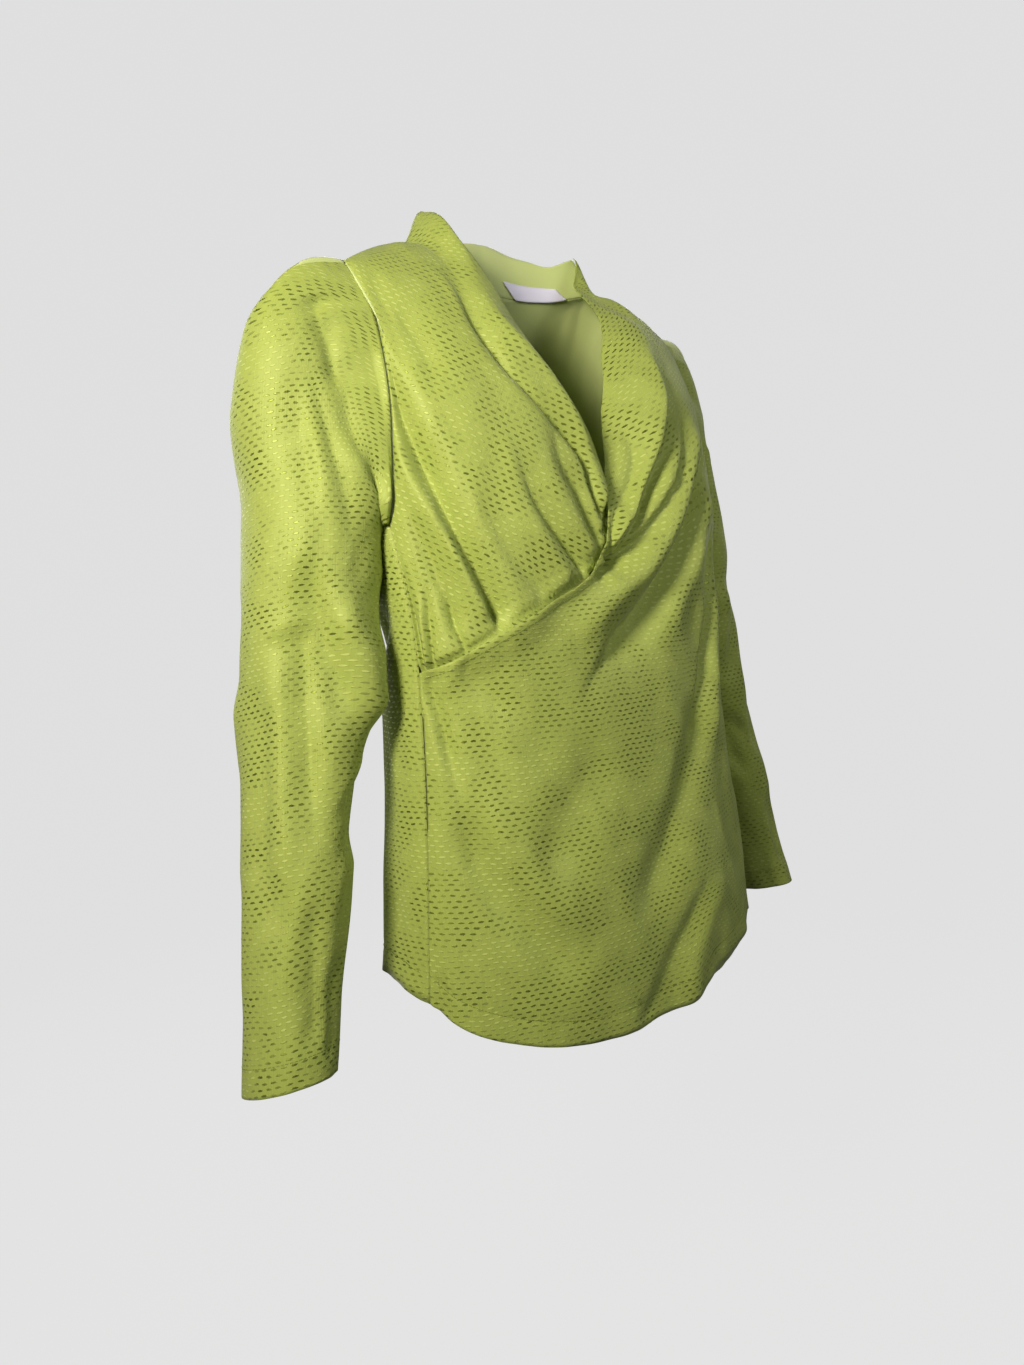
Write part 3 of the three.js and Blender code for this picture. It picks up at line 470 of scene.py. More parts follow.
# Folds of the sleeves, with the turn counted round from the underarm seam over the front
RIGHT_SLEEVE_FOLDS = [
    (-4, 5, 7, 0.6, 0.1, 0.4, [(140, -56), (126, -80), (113, -99), (101, -122)]),
    (-4, 5, 7, 0.6, 0.2, 0.4, [(128, -68), (109, -104), (96, -132)]),
    (3, 8, 8, 0, 0.2, 0.4, [(133, -64), (116, -94), (104, -118)]),
    (-4.5, 10, 20, 0.3, 0.5, 0.5, [(141, -95), (136, -130), (130, -172), (120, -217), (110, -280)]),
    (-6, 8, 20, 0.4, 0.45, 0.5, [(130, -85), (120, -121), (110, -149), (100, -182),
        (90, -215), (76, -275)]),
    (3, 12, 10, 0, 0.4, 0.5, [(128, -115), (118, -160), (108, -200), (98, -250)]),
    (9, 26, 24, 0, 0.35, 0.3, [(46, -180), (36, -215), (32, -250), (36, -310)]),
    (-5, 7, 16, 0.5, 0.4, 0.5, [(108, -85), (98, -115), (88, -145), (76, -172), (66, -192)]),
    (5, 13, 13, 0, 0.4, 0.4, [(92, -150), (78, -180), (64, -205), (50, -240)]),
    (-8, 10, 22, 0.35, 0.4, 0.4, [(128, -240), (121, -271), (103, -311), (84, -352), (64, -392)]),
    (6, 16, 14, 0, 0.3, 0.3, [(104, -260), (86, -305), (64, -350), (44, -376)]),
    (9, 30, 30, 0, 0.35, 0.35, [(52, -270), (44, -320), (42, -350), (38, -395)]),
    (-6, 26, 28, 0.1, 0.3, 0.3, [(62, -402), (50, -425), (44, -448), (42, -475)]),
    (10, 42, 42, 0, 0.35, 0.35, [(205, -30), (214, -80), (220, -140), (222, -215)]),
    (-7, 12, 22, 0.3, 0.4, 0.4, [(138, -290), (133, -304), (124, -361), (115, -416), (108, -470)]),
    (4, 14, 14, 0, 0.3, 0.3, [(160, -280), (151, -350), (145, -430), (140, -500)]),
    (-4, 14, 16, 0.2, 0.3, 0.3, [(170, -300), (162, -380), (158, -450), (152, -520)]),
    (-4, 12, 16, 0.2, 0.3, 0.2, [(112, -480), (100, -530), (92, -590)]),
    (-3, 12, 12, 0.2, 0.3, 0.2, [(60, -520), (66, -560), (64, -600)]),
    (-5, 14, 18, 0.3, 0.3, 0.3, [(262, -110), (274, -170), (286, -230)]),
    (-6, 16, 20, 0.2, 0.3, 0.3, [(222, -260), (250, -320), (285, -372)]),
    (-5, 16, 20, 0.2, 0.3, 0.3, [(232, -390), (262, -430), (296, -462)]),
    (4, 18, 18, 0, 0.3, 0.3, [(210, -330), (236, -380), (268, -420)]),
    (-4, 14, 18, 0.2, 0.3, 0.3, [(218, -470), (228, -530), (236, -590)]),
]
LEFT_SLEEVE_FOLDS = [
    (-4, 6, 8, 0.5, 0.1, 0.4, [(134, -58), (120, -84), (104, -110)]),
    (-7, 10, 15, 0.4, 0.3, 0.3, [(130, -110), (116, -150), (102, -196), (92, -244)]),
    (-7, 9, 14, 0.5, 0.3, 0.3, [(98, -120), (84, -150), (62, -178), (40, -198)]),
    (5, 12, 12, 0, 0.3, 0.3, [(116, -130), (98, -172), (80, -214)]),
    (-6, 14, 18, 0.3, 0.3, 0.3, [(132, -250), (112, -306), (88, -356), (66, -396)]),
    (5, 18, 18, 0, 0.3, 0.3, [(100, -280), (76, -330), (52, -378)]),
    (-5, 16, 18, 0.3, 0.3, 0.3, [(146, -330), (130, -390), (112, -440), (100, -486)]),
    (-5, 20, 20, 0.1, 0.3, 0.3, [(80, -420), (58, -450), (40, -490)]),
    (-4, 12, 14, 0.3, 0.3, 0.2, [(166, -400), (156, -470), (150, -550)]),
    (-4, 14, 16, 0.2, 0.3, 0.2, [(110, -500), (102, -550), (98, -600)]),
    (-5, 14, 18, 0.3, 0.3, 0.3, [(226, -120), (244, -176), (264, -236)]),
    (-6, 16, 20, 0.2, 0.3, 0.3, [(216, -280), (246, -336), (280, -380)]),
    (-5, 16, 20, 0.2, 0.3, 0.3, [(228, -410), (258, -446), (290, -480)]),
]
PATH_STEPS, EDGE_STEPS, HEM_PATH_STEPS = 20, 49, 33
FOLD_DEPTH, SLEEVE_FOLD_DEPTH = 1.4, 1.3
# A fold that fades out within this share of its length is pinched by a seam: it narrows from
# the first to the second width on its way there
PINCHED, PINCH_FROM, PINCH_TO = 0.1, 1.35, 0.6
# A crease's slope, and how round its bottom is
CREASE_SLOPE, CREASE_ROUND, CREASE_OFFSET = 1.6, 0.02, 0.14


def flat_path(path, per_degree):
    points = np.asarray(path, float) * (per_degree, 1)
    return line(points)(np.linspace(0, 1, PATH_STEPS))


def fold_height(table, at, per_degree=GIRTH_PER_DEGREE, depth=FOLD_DEPTH):
    total = np.zeros(len(at))
    for height, left, right, crisp, fade_in, fade_out, path in table:
        distance, share, side = nearest(flat_path(path, per_degree), at)
        taper = PINCH_FROM + (PINCH_TO - PINCH_FROM) * share if fade_out < PINCHED else 1
        reach = distance / (np.where(side > 0, right, left) * taper)
        soft = np.exp(-(reach**2))
        crease = np.exp(-CREASE_SLOPE * (np.sqrt(reach**2 + CREASE_ROUND) - CREASE_OFFSET))
        fade = smooth(share / fade_in) * smooth((1 - share) / fade_out)
        total += height * fade * (soft * (1 - crisp) + crease * crisp)
    return depth * total


def depth_at(table, z):
    heights, depths = np.array(table[::-1], float).T
    return np.interp(z, heights, depths, left=0, right=0)


def edge_path(curve, steps):
    """A line on the form as a flat row of points."""
    return flat_place(*curve(np.linspace(0, 1, steps)).T)


over_edge_path = edge_path(over_edge, EDGE_STEPS)
under_edge_path = edge_path(mirrored(under_edge), EDGE_STEPS)
front_hem_path = edge_path(whole_front(hem_line), HEM_PATH_STEPS)
back_hem_path = edge_path(whole_back(back_hem), HEM_PATH_STEPS)


def roll_height(edge, rolls, at):
    inside = 1 - np.minimum(1, nearest(edge, at)[0] / ROLL_WIDTH)
    return -depth_at(rolls, at[:, 1]) * inside**2


# Small uneven drape: seed, size, stretch along z, and height of each set of waves
OVER_DRAPE = [(3, 30, 2.6, 0.9), (4, 13, 2.2, 0.3)]
UNDER_DRAPE = [(6, 30, 2.2, 0.8), (7, 13, 2.0, 0.3)]
BACK_DRAPE = [(8, 34, 2.6, 1.0), (9, 14, 2.2, 0.3)]
RIGHT_SLEEVE_DRAPE = [(11, 26, 3.2, 0.6), (12, 12, 3, 0.3)]
LEFT_SLEEVE_DRAPE = [(13, 26, 3.2, 0.6), (14, 12, 3, 0.3)]
LATTICE, LATTICE_X, LATTICE_Y, LATTICE_LEAN = 64, 32, 40, 0.25


def slack(at, seed, size, stretch, height):
    """Smoothed seeded values on a lattice that is stretched along z."""
    values = np.random.default_rng(seed).normal(0, 1, (LATTICE, LATTICE))
    x = (at[:, 0] + LATTICE_LEAN * at[:, 1]) / size + LATTICE_X
    y = at[:, 1] / (size * stretch) + LATTICE_Y
    i, j = np.floor(x).astype(int), np.floor(y).astype(int)
    last = LATTICE - 1
    return height * between(values, i % last, j % last, smooth(x - i), smooth(y - j))


def drape(at, waves):
    return sum(slack(at, *wave) for wave in waves)


# The hems' depth, the groove along their stitches, and the waves of the free edge and the
# puckers in the groove, each as (size, stretch, height)
HEM_DEPTH, WRAP_HEM_DEPTH = 20, 6
HEM_GROOVE_WIDTH, HEM_GROOVE_DEPTH = 2.5, 0.6
HEM_WAVE, HEM_WAVE_REACH = (22, 1, 1.5), 22
HEM_PUCKER, PUCKER_SEED = (5, 1, 0.35), 20
FRONT_HEM_SEED, BACK_HEM_SEED = 5, 10


def hem_waves(at, hem, seed):
    """The free hem isn't quite level: short shallow waves that die out upwards."""
    distance = nearest(hem, at)[0]
    level = at * (1, 0)
    waves = slack(level, seed, *HEM_WAVE)
    puckers = slack(level, seed + PUCKER_SEED, *HEM_PUCKER)
    groove = np.exp(-(((distance - HEM_DEPTH) / HEM_GROOVE_WIDTH) ** 2))
    return waves * np.exp(-distance / HEM_WAVE_REACH) + (puckers - HEM_GROOVE_DEPTH) * groove


def over_relief(at, fade):
    distance = nearest(over_edge_path, at)[0]
    on_wrap = ramp(at[:, 1], WRAP_START, WRAP_START - WRAP_LIFT_RUN)
    lift = WRAP_LIFT * on_wrap * np.exp(-((distance / WRAP_LIFT_WIDTH) ** 2))
    return fade * (over_folds_and_roll(at) + lift)


def over_folds_and_roll(at):
    folds = fold_height(OVER_FOLDS, at) + roll_height(over_edge_path, OVER_ROLL, at)
    return folds + drape(at, OVER_DRAPE) + hem_waves(at, front_hem_path, FRONT_HEM_SEED)


def under_relief(at, fade):
    """The right front has its own folds where it shows, and lies under the left one's."""
    own = fold_height(UNDER_FOLDS, at) + roll_height(under_edge_path, UNDER_ROLL, at)
    own = own + drape(at, UNDER_DRAPE)
    distance, _, side = nearest(over_edge_path, at)
    covered = smooth((distance * side + DIP_WIDTH) / DIP_WIDTH)
    inside = over_folds_and_roll(at)
    outside = fold_height(OVER_FOLDS, at) - depth_at(OVER_ROLL, at[:, 1])
    beneath = fade * np.where(side > 0, inside, outside) - LAYER_DEPTH
    return fade * own * (1 - covered) + beneath * covered


def back_relief(at, fade):
    folds = fold_height(BACK_FOLDS, at) + drape(at, BACK_DRAPE)
    return fade * (folds + hem_waves(at, back_hem_path, BACK_HEM_SEED))


# Rows, degrees and shares of a sleeve over which the normals are measured
NORMAL_ROWS, NORMAL_TURN, SLEEVE_NORMAL = 0.02, 0.4, 0.004


def body_normal(turn, row):
    above = body_point(turn, np.maximum(0, row - NORMAL_ROWS))
    below = body_point(turn, np.minimum(ROWS, row + NORMAL_ROWS))
    around = body_point(turn + NORMAL_TURN, row) - body_point(turn - NORMAL_TURN, row)
    normal = np.cross(around, above - below)
    return normal / np.linalg.norm(normal, axis=-1, keepdims=True)


# Shares of a panel over which its relief fades to its seams and to the back neck
SEAM_FADE, NECK_FADE = 0.03, 0.04
# A panel's width in millimetres, the grooves of its seams, and the shares of its height at
# which the side seam and the armhole end
PANEL_WIDTH, GROOVE_WIDTH, SEAM_GROOVE, ARMHOLE_GROOVE = 500, 3, 0.4, 1.6
SIDE_SEAM_TOP, ARMHOLE_TOP, GROOVE_END = 0.44, 0.815, 0.02
GRAIN_TURN, GRAIN_LEVEL, GRAIN_RISE = 28, -340, 240
# How the left front settles: the collar's lean inwards and back, its sink and the hem's
# catch, and the x, rows and z between which each of them comes in or dies out
COLLAR_LEAN_IN, COLLAR_LEAN_BACK, COLLAR_SINK, HEM_CATCH = 8, 24, 16, 13
LEAN_FROM_NECK, LEAN_FROM_MIDDLE, LEAN_TOP, LEAN_FOOT = (116, 92), (20, 50), (0, 1.3), (3.2, 1.2)
SINK_FROM_NECK, SINK_FROM_MIDDLE, SINK_TOP, SINK_FOOT = (112, 86), (20, 60), (0, 0.8), (3.4, 1.0)
CATCH_FROM_MIDDLE, CATCH_FROM_SIDE, CATCH_TOP = (20, 80), (190, 160), (-520, -610)


def turned_grain(cloth):
    """The right front is cut with its grain turned, so its dashes slope down to its left."""
    across, along = cloth.T
    angle = math.radians(GRAIN_TURN)
    return np.stack([
        across * math.cos(angle) - along * math.sin(angle),
        across * math.sin(angle) + along * math.cos(angle),
    ], -1)


def swung_grain(cloth):
    """The left front's grain lies level below and swings up to the shoulder above."""
    across, along = cloth.T
    swing = math.tan(math.radians(GRAIN_TURN)) * smooth((along - GRAIN_LEVEL) / GRAIN_RISE)
    return np.stack([across, along - swing * across], -1)


def plain_grain(cloth):
    return cloth


def left_settle(points, row):
    """The left collar leans in and sinks, and the left hem is caught up a little."""
    x, _, z = points.T
    lean = ramp(x, *LEAN_FROM_NECK) * ramp(row, *LEAN_TOP) * ramp(row, *LEAN_FOOT)
    lean = lean * ramp(x, *LEAN_FROM_MIDDLE)
    sink = ramp(x, *SINK_FROM_NECK) * ramp(row, *SINK_TOP) * ramp(row, *SINK_FOOT)
    sink = sink * ramp(x, *SINK_FROM_MIDDLE)
    catch = ramp(x, *CATCH_FROM_MIDDLE) * ramp(x, *CATCH_FROM_SIDE) * ramp(z, *CATCH_TOP)
    shift = (-COLLAR_LEAN_IN * lean, COLLAR_LEAN_BACK * lean, HEM_CATCH * catch - COLLAR_SINK * sink)
    return np.stack(shift, -1)


def as_cut(points, row):
    return 0 * points


def panel_surface(surface, relief, grain=plain_grain, settle=as_cut, top_fade=0):
    """Function of u and v that gives a panel's points and its cloth coordinates."""

    def at(u, v):
        turn, row = surface(u, v).T
        fade = smooth(u / SEAM_FADE) * smooth((1 - u) / SEAM_FADE)
        if top_fade:
            fade = fade * smooth((1 - v) / top_fade)
        height = relief(flat_place(turn, row), fade)
        seamed = smooth((ARMHOLE_TOP - v) / GROOVE_END)
        armhole = smooth((v - SIDE_SEAM_TOP) / GROOVE_END) * seamed
        groove = SEAM_GROOVE + (ARMHOLE_GROOVE - SEAM_GROOVE) * armhole
        from_seam = np.minimum(u, 1 - u) * PANEL_WIDTH
        height -= groove * np.exp(-((from_seam / GROOVE_WIDTH) ** 2)) * seamed
        points = body_point(turn, row) + height[:, None] * body_normal(turn, row)
        points += settle(points, row)
        girth = table_value(girth_table, turn, row)
        drop = table_value(drop_table, turn, row)
        return points, grain(np.stack([girth, -drop], -1))

    return at


def sleeve_section(row, around):
    s = np.moveaxis(at_row(SLEEVE_SECTIONS, row), -1, 0)
    z, x, y, outer, inner, depth = s
    angle = 2 * math.pi * around
    to_body = np.cos(angle)
    return np.stack([
        x - to_body * np.where(to_body > 0, inner, outer),
        y - np.sin(angle) * depth,
        z + 0 * angle,
    ], -1)


def armhole_point(side, around):
    front = around < 0.5
    place = np.where(
        front[:, None],
        armhole_front(np.clip(1 - 2 * around, 0, 1)),
        armhole_back(np.clip(2 * around - 1, 0, 1)),
    )
    return body_point(side * place[:, 0], place[:, 1]) * (side, 1, 1)


def smooth_sleeve(side, u, v):
    """Sleeve without its folds: u goes round from the underarm seam, v from armhole to cuff."""
    top = ((1 - np.cos(2 * math.pi * u)) / 2)[:, None]
    start = armhole_point(side, u)
    end = sleeve_section(np.zeros_like(u), u)
    reach = CAP_REACH_LOW + (CAP_REACH_TOP - CAP_REACH_LOW) * top
    fall = CAP_FALL_LOW + (CAP_FALL_TOP - CAP_FALL_LOW) * top
    blend = CAP_BLEND * np.maximum(0, np.sin(2 * math.pi * u))[:, None] * reach
    one = start + np.concatenate([reach, blend, CAP_LIFT * top], 1)
    two = end + fall * CAP_FALL_LEAN
    t = np.clip(v / CAP_SHARE, 0, 1)[:, None]
    cap = start * (1 - t) ** 3 + 3 * one * t * (1 - t) ** 2
    cap = cap + 3 * two * t**2 * (1 - t) + end * t**3
    row = np.clip((v - CAP_SHARE) / (1 - CAP_SHARE), 0, 1) * (len(SLEEVE_SECTIONS) - 1)
    points = np.where((v < CAP_SHARE)[:, None], cap, sleeve_section(row, u))
    middle_y = at_row(SLEEVE_SECTIONS, row)[:, 2]
    cuff = ramp(v, CUFF_START, 1)
    tilt = CUFF_TILT if side < 0 else FAR_CUFF_SHARE * CUFF_TILT
    points[:, 2] += (tilt * (middle_y - points[:, 1]) - CUFF_DROP) * cuff
    if side > 0:
        points[:, 0] -= FAR_ARM_IN * smooth(v / FAR_ARM_REACH)
    return points * (side, 1, 1)


def sleeve_lengths(side, turns=73, steps=97):
    """Cloth lengths of a sleeve: round from its outer line, and up from its cuff."""
    u, v = np.meshgrid(np.linspace(0, 1, turns), np.linspace(0, 1, steps), indexing="ij")
    points = smooth_sleeve(side, u.ravel(), v.ravel()).reshape(turns, steps, 3)
    across = running_length(points, 0)
    along = running_length(points, 1)
    return across - across[turns // 2], along[:, -1:] - along


def grid_value(table, u, v):
    i, j = u * (table.shape[0] - 1), v * (table.shape[1] - 1)
    i0 = np.minimum(i.astype(int), table.shape[0] - 2)
    j0 = np.minimum(j.astype(int), table.shape[1] - 2)
    return between(table, i0, j0, i - i0, j - j0)


# Shares of a sleeve over which its drape fades to its seam, and its relief to the armhole
SLEEVE_SEAM_FADE, ARMHOLE_FADE = 0.08, 0.02


def sleeve_surface(side, folds, waves):
    """Function of u and v that gives a sleeve's points and its cloth coordinates."""
    across, along = sleeve_lengths(side)

    def at(u, v):
        points = smooth_sleeve(side, u, v)
        around = smooth_sleeve(side, u + SLEEVE_NORMAL, v) - smooth_sleeve(side, u - SLEEVE_NORMAL, v)
        below = smooth_sleeve(side, u, np.minimum(1, v + SLEEVE_NORMAL))
        above = smooth_sleeve(side, u, np.maximum(0, v - SLEEVE_NORMAL))
        normal = -side * np.cross(around, below - above)
        normal /= np.linalg.norm(normal, axis=1, keepdims=True)
        at_flat = np.stack([u * 360 * SLEEVE_PER_DEGREE, points[:, 2]], -1)
        height = fold_height(folds, at_flat, SLEEVE_PER_DEGREE, SLEEVE_FOLD_DEPTH)
        height += smooth(np.minimum(u, 1 - u) / SLEEVE_SEAM_FADE) * drape(at_flat, waves)
        cloth = np.stack([grid_value(across, u, v), grid_value(along, u, v)], -1)
        return points + (height * smooth(v / ARMHOLE_FADE))[:, None] * normal, cloth

    return at


# The stand's top edge rises and dips, as (height, centre x, width), and its ends follow the
# grown-on collar of the fronts over a short stretch
STAND_WAVES = [(11, 4, 34), (-5, 72, 14)]
STAND_END_POWER = 6


def collar_stand_surface(u, v):
    share = np.abs(2 * u - 1)
    side = np.where(u < 0.5, -1, 1)
    turn, row = back_neck(1 - share).T
    bottom = body_point(180 - side * (180 - turn), row)
    top = line(STAND_TOP)(1 - share)
    top[:, 0] *= side
    top[:, 2] -= RIGHT_LIFT * top[:, 0] / SHOULDER_TIP
    for height, centre, width in STAND_WAVES:
        top[:, 2] += height * np.exp(-(((top[:, 0] - centre) / width) ** 2))
    points = bottom + (top - bottom) * v[:, None]
    x = NECK_POINT + (COLLAR_PEAK - NECK_POINT) * v
    collar = body_point(side * np.degrees(np.arcsin(x / SHOULDER_TIP)), 0 * v)
    straight = np.stack([side * x, 0 * v, 0 * v], -1) - (collar * (1, 0, 0))
    ends = body_point(side * ridge_turn(NECK_POINT), 0 * v)
    peaks = body_point(side * ridge_turn(COLLAR_PEAK), 0 * v)
    chord = ends + (peaks - ends) * v[:, None]
    points += (collar - chord + straight) * (share**STAND_END_POWER)[:, None]
    return points, points[:, [0, 2]]


CLOTH_THICKNESS, TAPE_THICKNESS = 0.5, 0.4
FORM_MIDDLE = Vector((0, -10, -300)) * MM
WELD = 1e-6


def cloth_piece(name, surface, across, up, materials, closed=False, thickness=CLOTH_THICKNESS):
    """Thin shell of cloth on a surface, with its cloth coordinates in millimetres as UV."""
    mesh = bpy.data.meshes.new(name)
    bm = bmesh.new()
    bmesh.ops.create_grid(bm, x_segments=across, y_segments=up, size=0.5)
    bm.to_mesh(mesh)
    bm.free()
    corners = np.empty(len(mesh.vertices) * 3)
    mesh.vertices.foreach_get("co", corners)
    corners = corners.reshape(-1, 3)
    points, cloth = surface(corners[:, 0] + 0.5, corners[:, 1] + 0.5)
    mesh.vertices.foreach_set("co", (points * MM).ravel())
    uv_layer = mesh.uv_layers.new(name="cloth")
    vertex_of_loop = np.empty(len(mesh.loops), int)
    mesh.loops.foreach_get("vertex_index", vertex_of_loop)
    uv_layer.data.foreach_set("uv", cloth[vertex_of_loop].ravel())
    bm = bmesh.new()
    bm.from_mesh(mesh)
    if closed:
        bmesh.ops.remove_doubles(bm, verts=bm.verts, dist=WELD)
    bmesh.ops.recalc_face_normals(bm, faces=bm.faces)
    middle = Vector(points.mean(0) * MM) if closed else FORM_MIDDLE
    outward = sum((f.calc_center_median() - middle).dot(f.normal) * f.calc_area() for f in bm.faces)
    if outward < 0:
        bmesh.ops.reverse_faces(bm, faces=bm.faces)
    for face in bm.faces:
        face.smooth = True
    bm.to_mesh(mesh)
    bm.free()
    piece = bpy.data.objects.new(name, mesh)
    bpy.context.scene.collection.objects.link(piece)
    for material in materials:
        mesh.materials.append(material)
    shell = piece.modifiers.new("cloth thickness", "SOLIDIFY")
    shell.thickness = thickness * MM
    shell.offset = -1
    shell.material_offset = len(materials) - 1
    return piece


def linear(hex_colour):
    """Linear RGBA of an sRGB hex colour."""
    parts = [int(hex_colour[k:k + 2], 16) / 255 for k in (1, 3, 5)]
    curve = [c / 12.92 if c <= 0.04045 else ((c + 0.055) / 1.055) ** 2.4 for c in parts]
    return (*curve, 1)


def add_node(tree, kind, settings=None, links=None):
    """A node with its settings, by attribute or socket, and its inputs' links: each from a
    socket, or from a node's first output."""
    node = tree.nodes.new("ShaderNode" + kind)
    for key, value in (settings or {}).items():
        if isinstance(key, int) or key in node.inputs:
            node.inputs[key].default_value = value
        else:
            setattr(node, key, value)
    for key, source in (links or {}).items():
        socket = source if isinstance(source, bpy.types.NodeSocket) else source.outputs[0]
        tree.links.new(socket, node.inputs[key])
    return node


def new_material(name):
    material = bpy.data.materials.new(name)
    material.use_nodes = True
    return material, material.node_tree, material.node_tree.nodes["Principled BSDF"]


# The jacquard's small dashes, in millimetres on the cloth
DASH_PITCH, DASH_ROWS = 7.4, 4.1
DASH_LENGTH, DASH_HEIGHT = 4.3, 1.45
DASH_WAVER = 5.0


def satin_face():
    """Polyester satin jacquard. Long warp threads floating over the weft give a soft gloss, and the
    short weft dashes lie across it, so they flash or darken as the cloth turns from the light. The
    dashes' colour also has painted highlight and painted shade: pale in some places, dark in others."""
    material, tree, shader = new_material("satin jacquard face")
    node = partial(add_node, tree)
    uv = node("UVMap", {"uv_map": "cloth"})

    # Rows of dashes that waver a little, every second row moved on by half a pitch
    waver = node("TexNoise", {"Scale": 0.05, "Detail": 2.0}, {"Vector": uv})
    centred = {"operation": "SUBTRACT", 1: (0.5, 0.5, 0.5)}
    waver = node("VectorMath", centred, {0: waver.outputs[1]})
    waver = node("VectorMath", {"operation": "SCALE", "Scale": DASH_WAVER}, {0: waver})
    wavy = node("VectorMath", {"operation": "ADD"}, {0: uv, 1: waver})
    across, along, _ = node("SeparateXYZ", links={0: wavy}).outputs
    rows = node("Math", {"operation": "DIVIDE", 1: DASH_ROWS}, {0: along})
    row_number = node("Math", {"operation": "FLOOR"}, {0: rows})
    columns = node("Math", {"operation": "DIVIDE", 1: DASH_PITCH}, {0: across})
    half_pitch = {"operation": "MULTIPLY_ADD", 1: 0.5}
    columns = node("Math", half_pitch, {0: row_number, 2: columns})
    place = node("CombineXYZ", links={0: columns, 1: rows})

    # One dash in each cell, as an oval with soft ends
    inside = node("VectorMath", {"operation": "FRACTION"}, {0: place})
    centred = {"operation": "SUBTRACT", 1: (0.5, 0.5, 0)}
    inside = node("VectorMath", centred, {0: inside})
    oval = (2 * DASH_PITCH / DASH_LENGTH, 2 * DASH_ROWS / DASH_HEIGHT, 0)
    inside = node("VectorMath", {"operation": "MULTIPLY", 1: oval}, {0: inside})
    reach = node("VectorMath", {"operation": "LENGTH"}, {0: inside})
    soft_edge = {"interpolation_type": "SMOOTHSTEP", 1: 1.2, 2: 0.8}
    dash = node("MapRange", soft_edge, {0: reach.outputs[1]})

    # Each dash is woven a little stronger or weaker
    cell = node("VectorMath", {"operation": "FLOOR"}, {0: place})
    chance = node("TexWhiteNoise", {"noise_dimensions": "2D"}, {"Vector": cell})
    strength = node("MapRange", {3: 0.75, 4: 1.0}, {0: chance})
    dash = node("Math", {"operation": "MULTIPLY"}, {0: dash, 1: strength})

    # Painted highlight and painted shade on the dashes: where a coarse noise is low they are
    # coloured pale, as if flashing in the light, and elsewhere dark, as if in shade
    dash_light_patches = node("TexNoise", {"Scale": 0.028, "Detail": 2.0}, {"Vector": uv})
    painted_dash_shade = node("MapRange", {1: 0.4, 2: 0.56}, {0: dash_light_patches})
    shades = {"data_type": "RGBA", 6: linear("#bbc66c"), 7: linear("#7d8838")}
    lit_and_shaded_dashes = node("Mix", shades, {0: painted_dash_shade})

    # The ground's warp threads, as fine streaks down the cloth
    streaks = node("Mapping", {"Scale": (0.9, 0.02, 1.0)}, {0: uv})
    streaks = node("TexNoise", {"Scale": 1.0, "Detail": 2.0}, {"Vector": streaks})
    shades = {"data_type": "RGBA", 6: linear("#96a34c"), 7: linear("#a9b658")}
    ground = node("Mix", shades, {0: streaks})
    sources = {0: dash, 6: ground.outputs[2], 7: lit_and_shaded_dashes.outputs[2]}
    colour = node("Mix", {"data_type": "RGBA"}, sources)
    tree.links.new(colour.outputs[2], shader.inputs["Base Color"])

    weave = node("Math", {"operation": "MULTIPLY_ADD", 1: 0.8}, {0: streaks, 2: dash})
    bump = {"Strength": 0.6, "Distance": 0.0005}
    bump = node("Bump", bump, {"Height": weave})
    tree.links.new(bump.outputs[0], shader.inputs["Normal"])

    # The gloss is drawn out along the warp, and turned where a dash lies across it
    tangent = {"direction_type": "UV_MAP", "uv_map": "cloth"}
    tangent = node("Tangent", tangent)
    tree.links.new(tangent.outputs[0], shader.inputs["Tangent"])
    turn = node("Math", {"operation": "MULTIPLY", 1: 0.25}, {0: dash})
    tree.links.new(turn.outputs[0], shader.inputs["Anisotropic Rotation"])
    metallic = node("Math", {"operation": "MULTIPLY"}, {0: dash, 1: painted_dash_shade})
    metallic = node("Math", {"operation": "MULTIPLY", 1: 0.85}, {0: metallic})
    tree.links.new(metallic.outputs[0], shader.inputs["Metallic"])
    shader.inputs["Roughness"].default_value = 0.52
    shader.inputs["Anisotropic"].default_value = 0.6
    shader.inputs["Specular IOR Level"].default_value = 0.4
    shader.inputs["Specular Tint"].default_value = linear("#eef2b8")
    shader.inputs["Sheen Weight"].default_value = 0.15
    shader.inputs["Sheen Roughness"].default_value = 0.4
    return material


def two_shades(name, pattern, settings, output, colours, roughness):
    """Material of one fine pattern between two shades, and its tree, shader and pattern."""
    material, tree, shader = new_material(name)
    position = add_node(tree, "TexCoord").outputs["Object"]
    source = add_node(tree, pattern, settings, {"Vector": position}).outputs[output]
    shades = {"data_type": "RGBA", 6: linear(colours[0]), 7: linear(colours[1])}
    colour = add_node(tree, "Mix", shades, {0: source})
    tree.links.new(colour.outputs[2], shader.inputs["Base Color"])
    shader.inputs["Roughness"].default_value = roughness
    return material, tree, shader, source


def satin_back():
    """Wrong side of the satin: matte and plain, a little paler, and faintly cloudy."""
    cloudy = {"Scale": 14.0, "Detail": 3.0}
    shades = ("#bdc97a", "#c6d286")
    material, _, shader, _ = two_shades(
        "satin wrong side", "TexNoise", cloudy, 0, shades, 0.7
    )
    shader.inputs["Sheen Weight"].default_value = 0.3
    return material


def label_tape():
    """Woven polyester label tape, blank: close plain weave with a rib every 0.75 mm."""
    shades = ("#dcd8ee", "#e9e6f6")
    return two_shades("woven label tape", "TexWave", {"Scale": 420.0}, 1, shades, 0.55)[0]


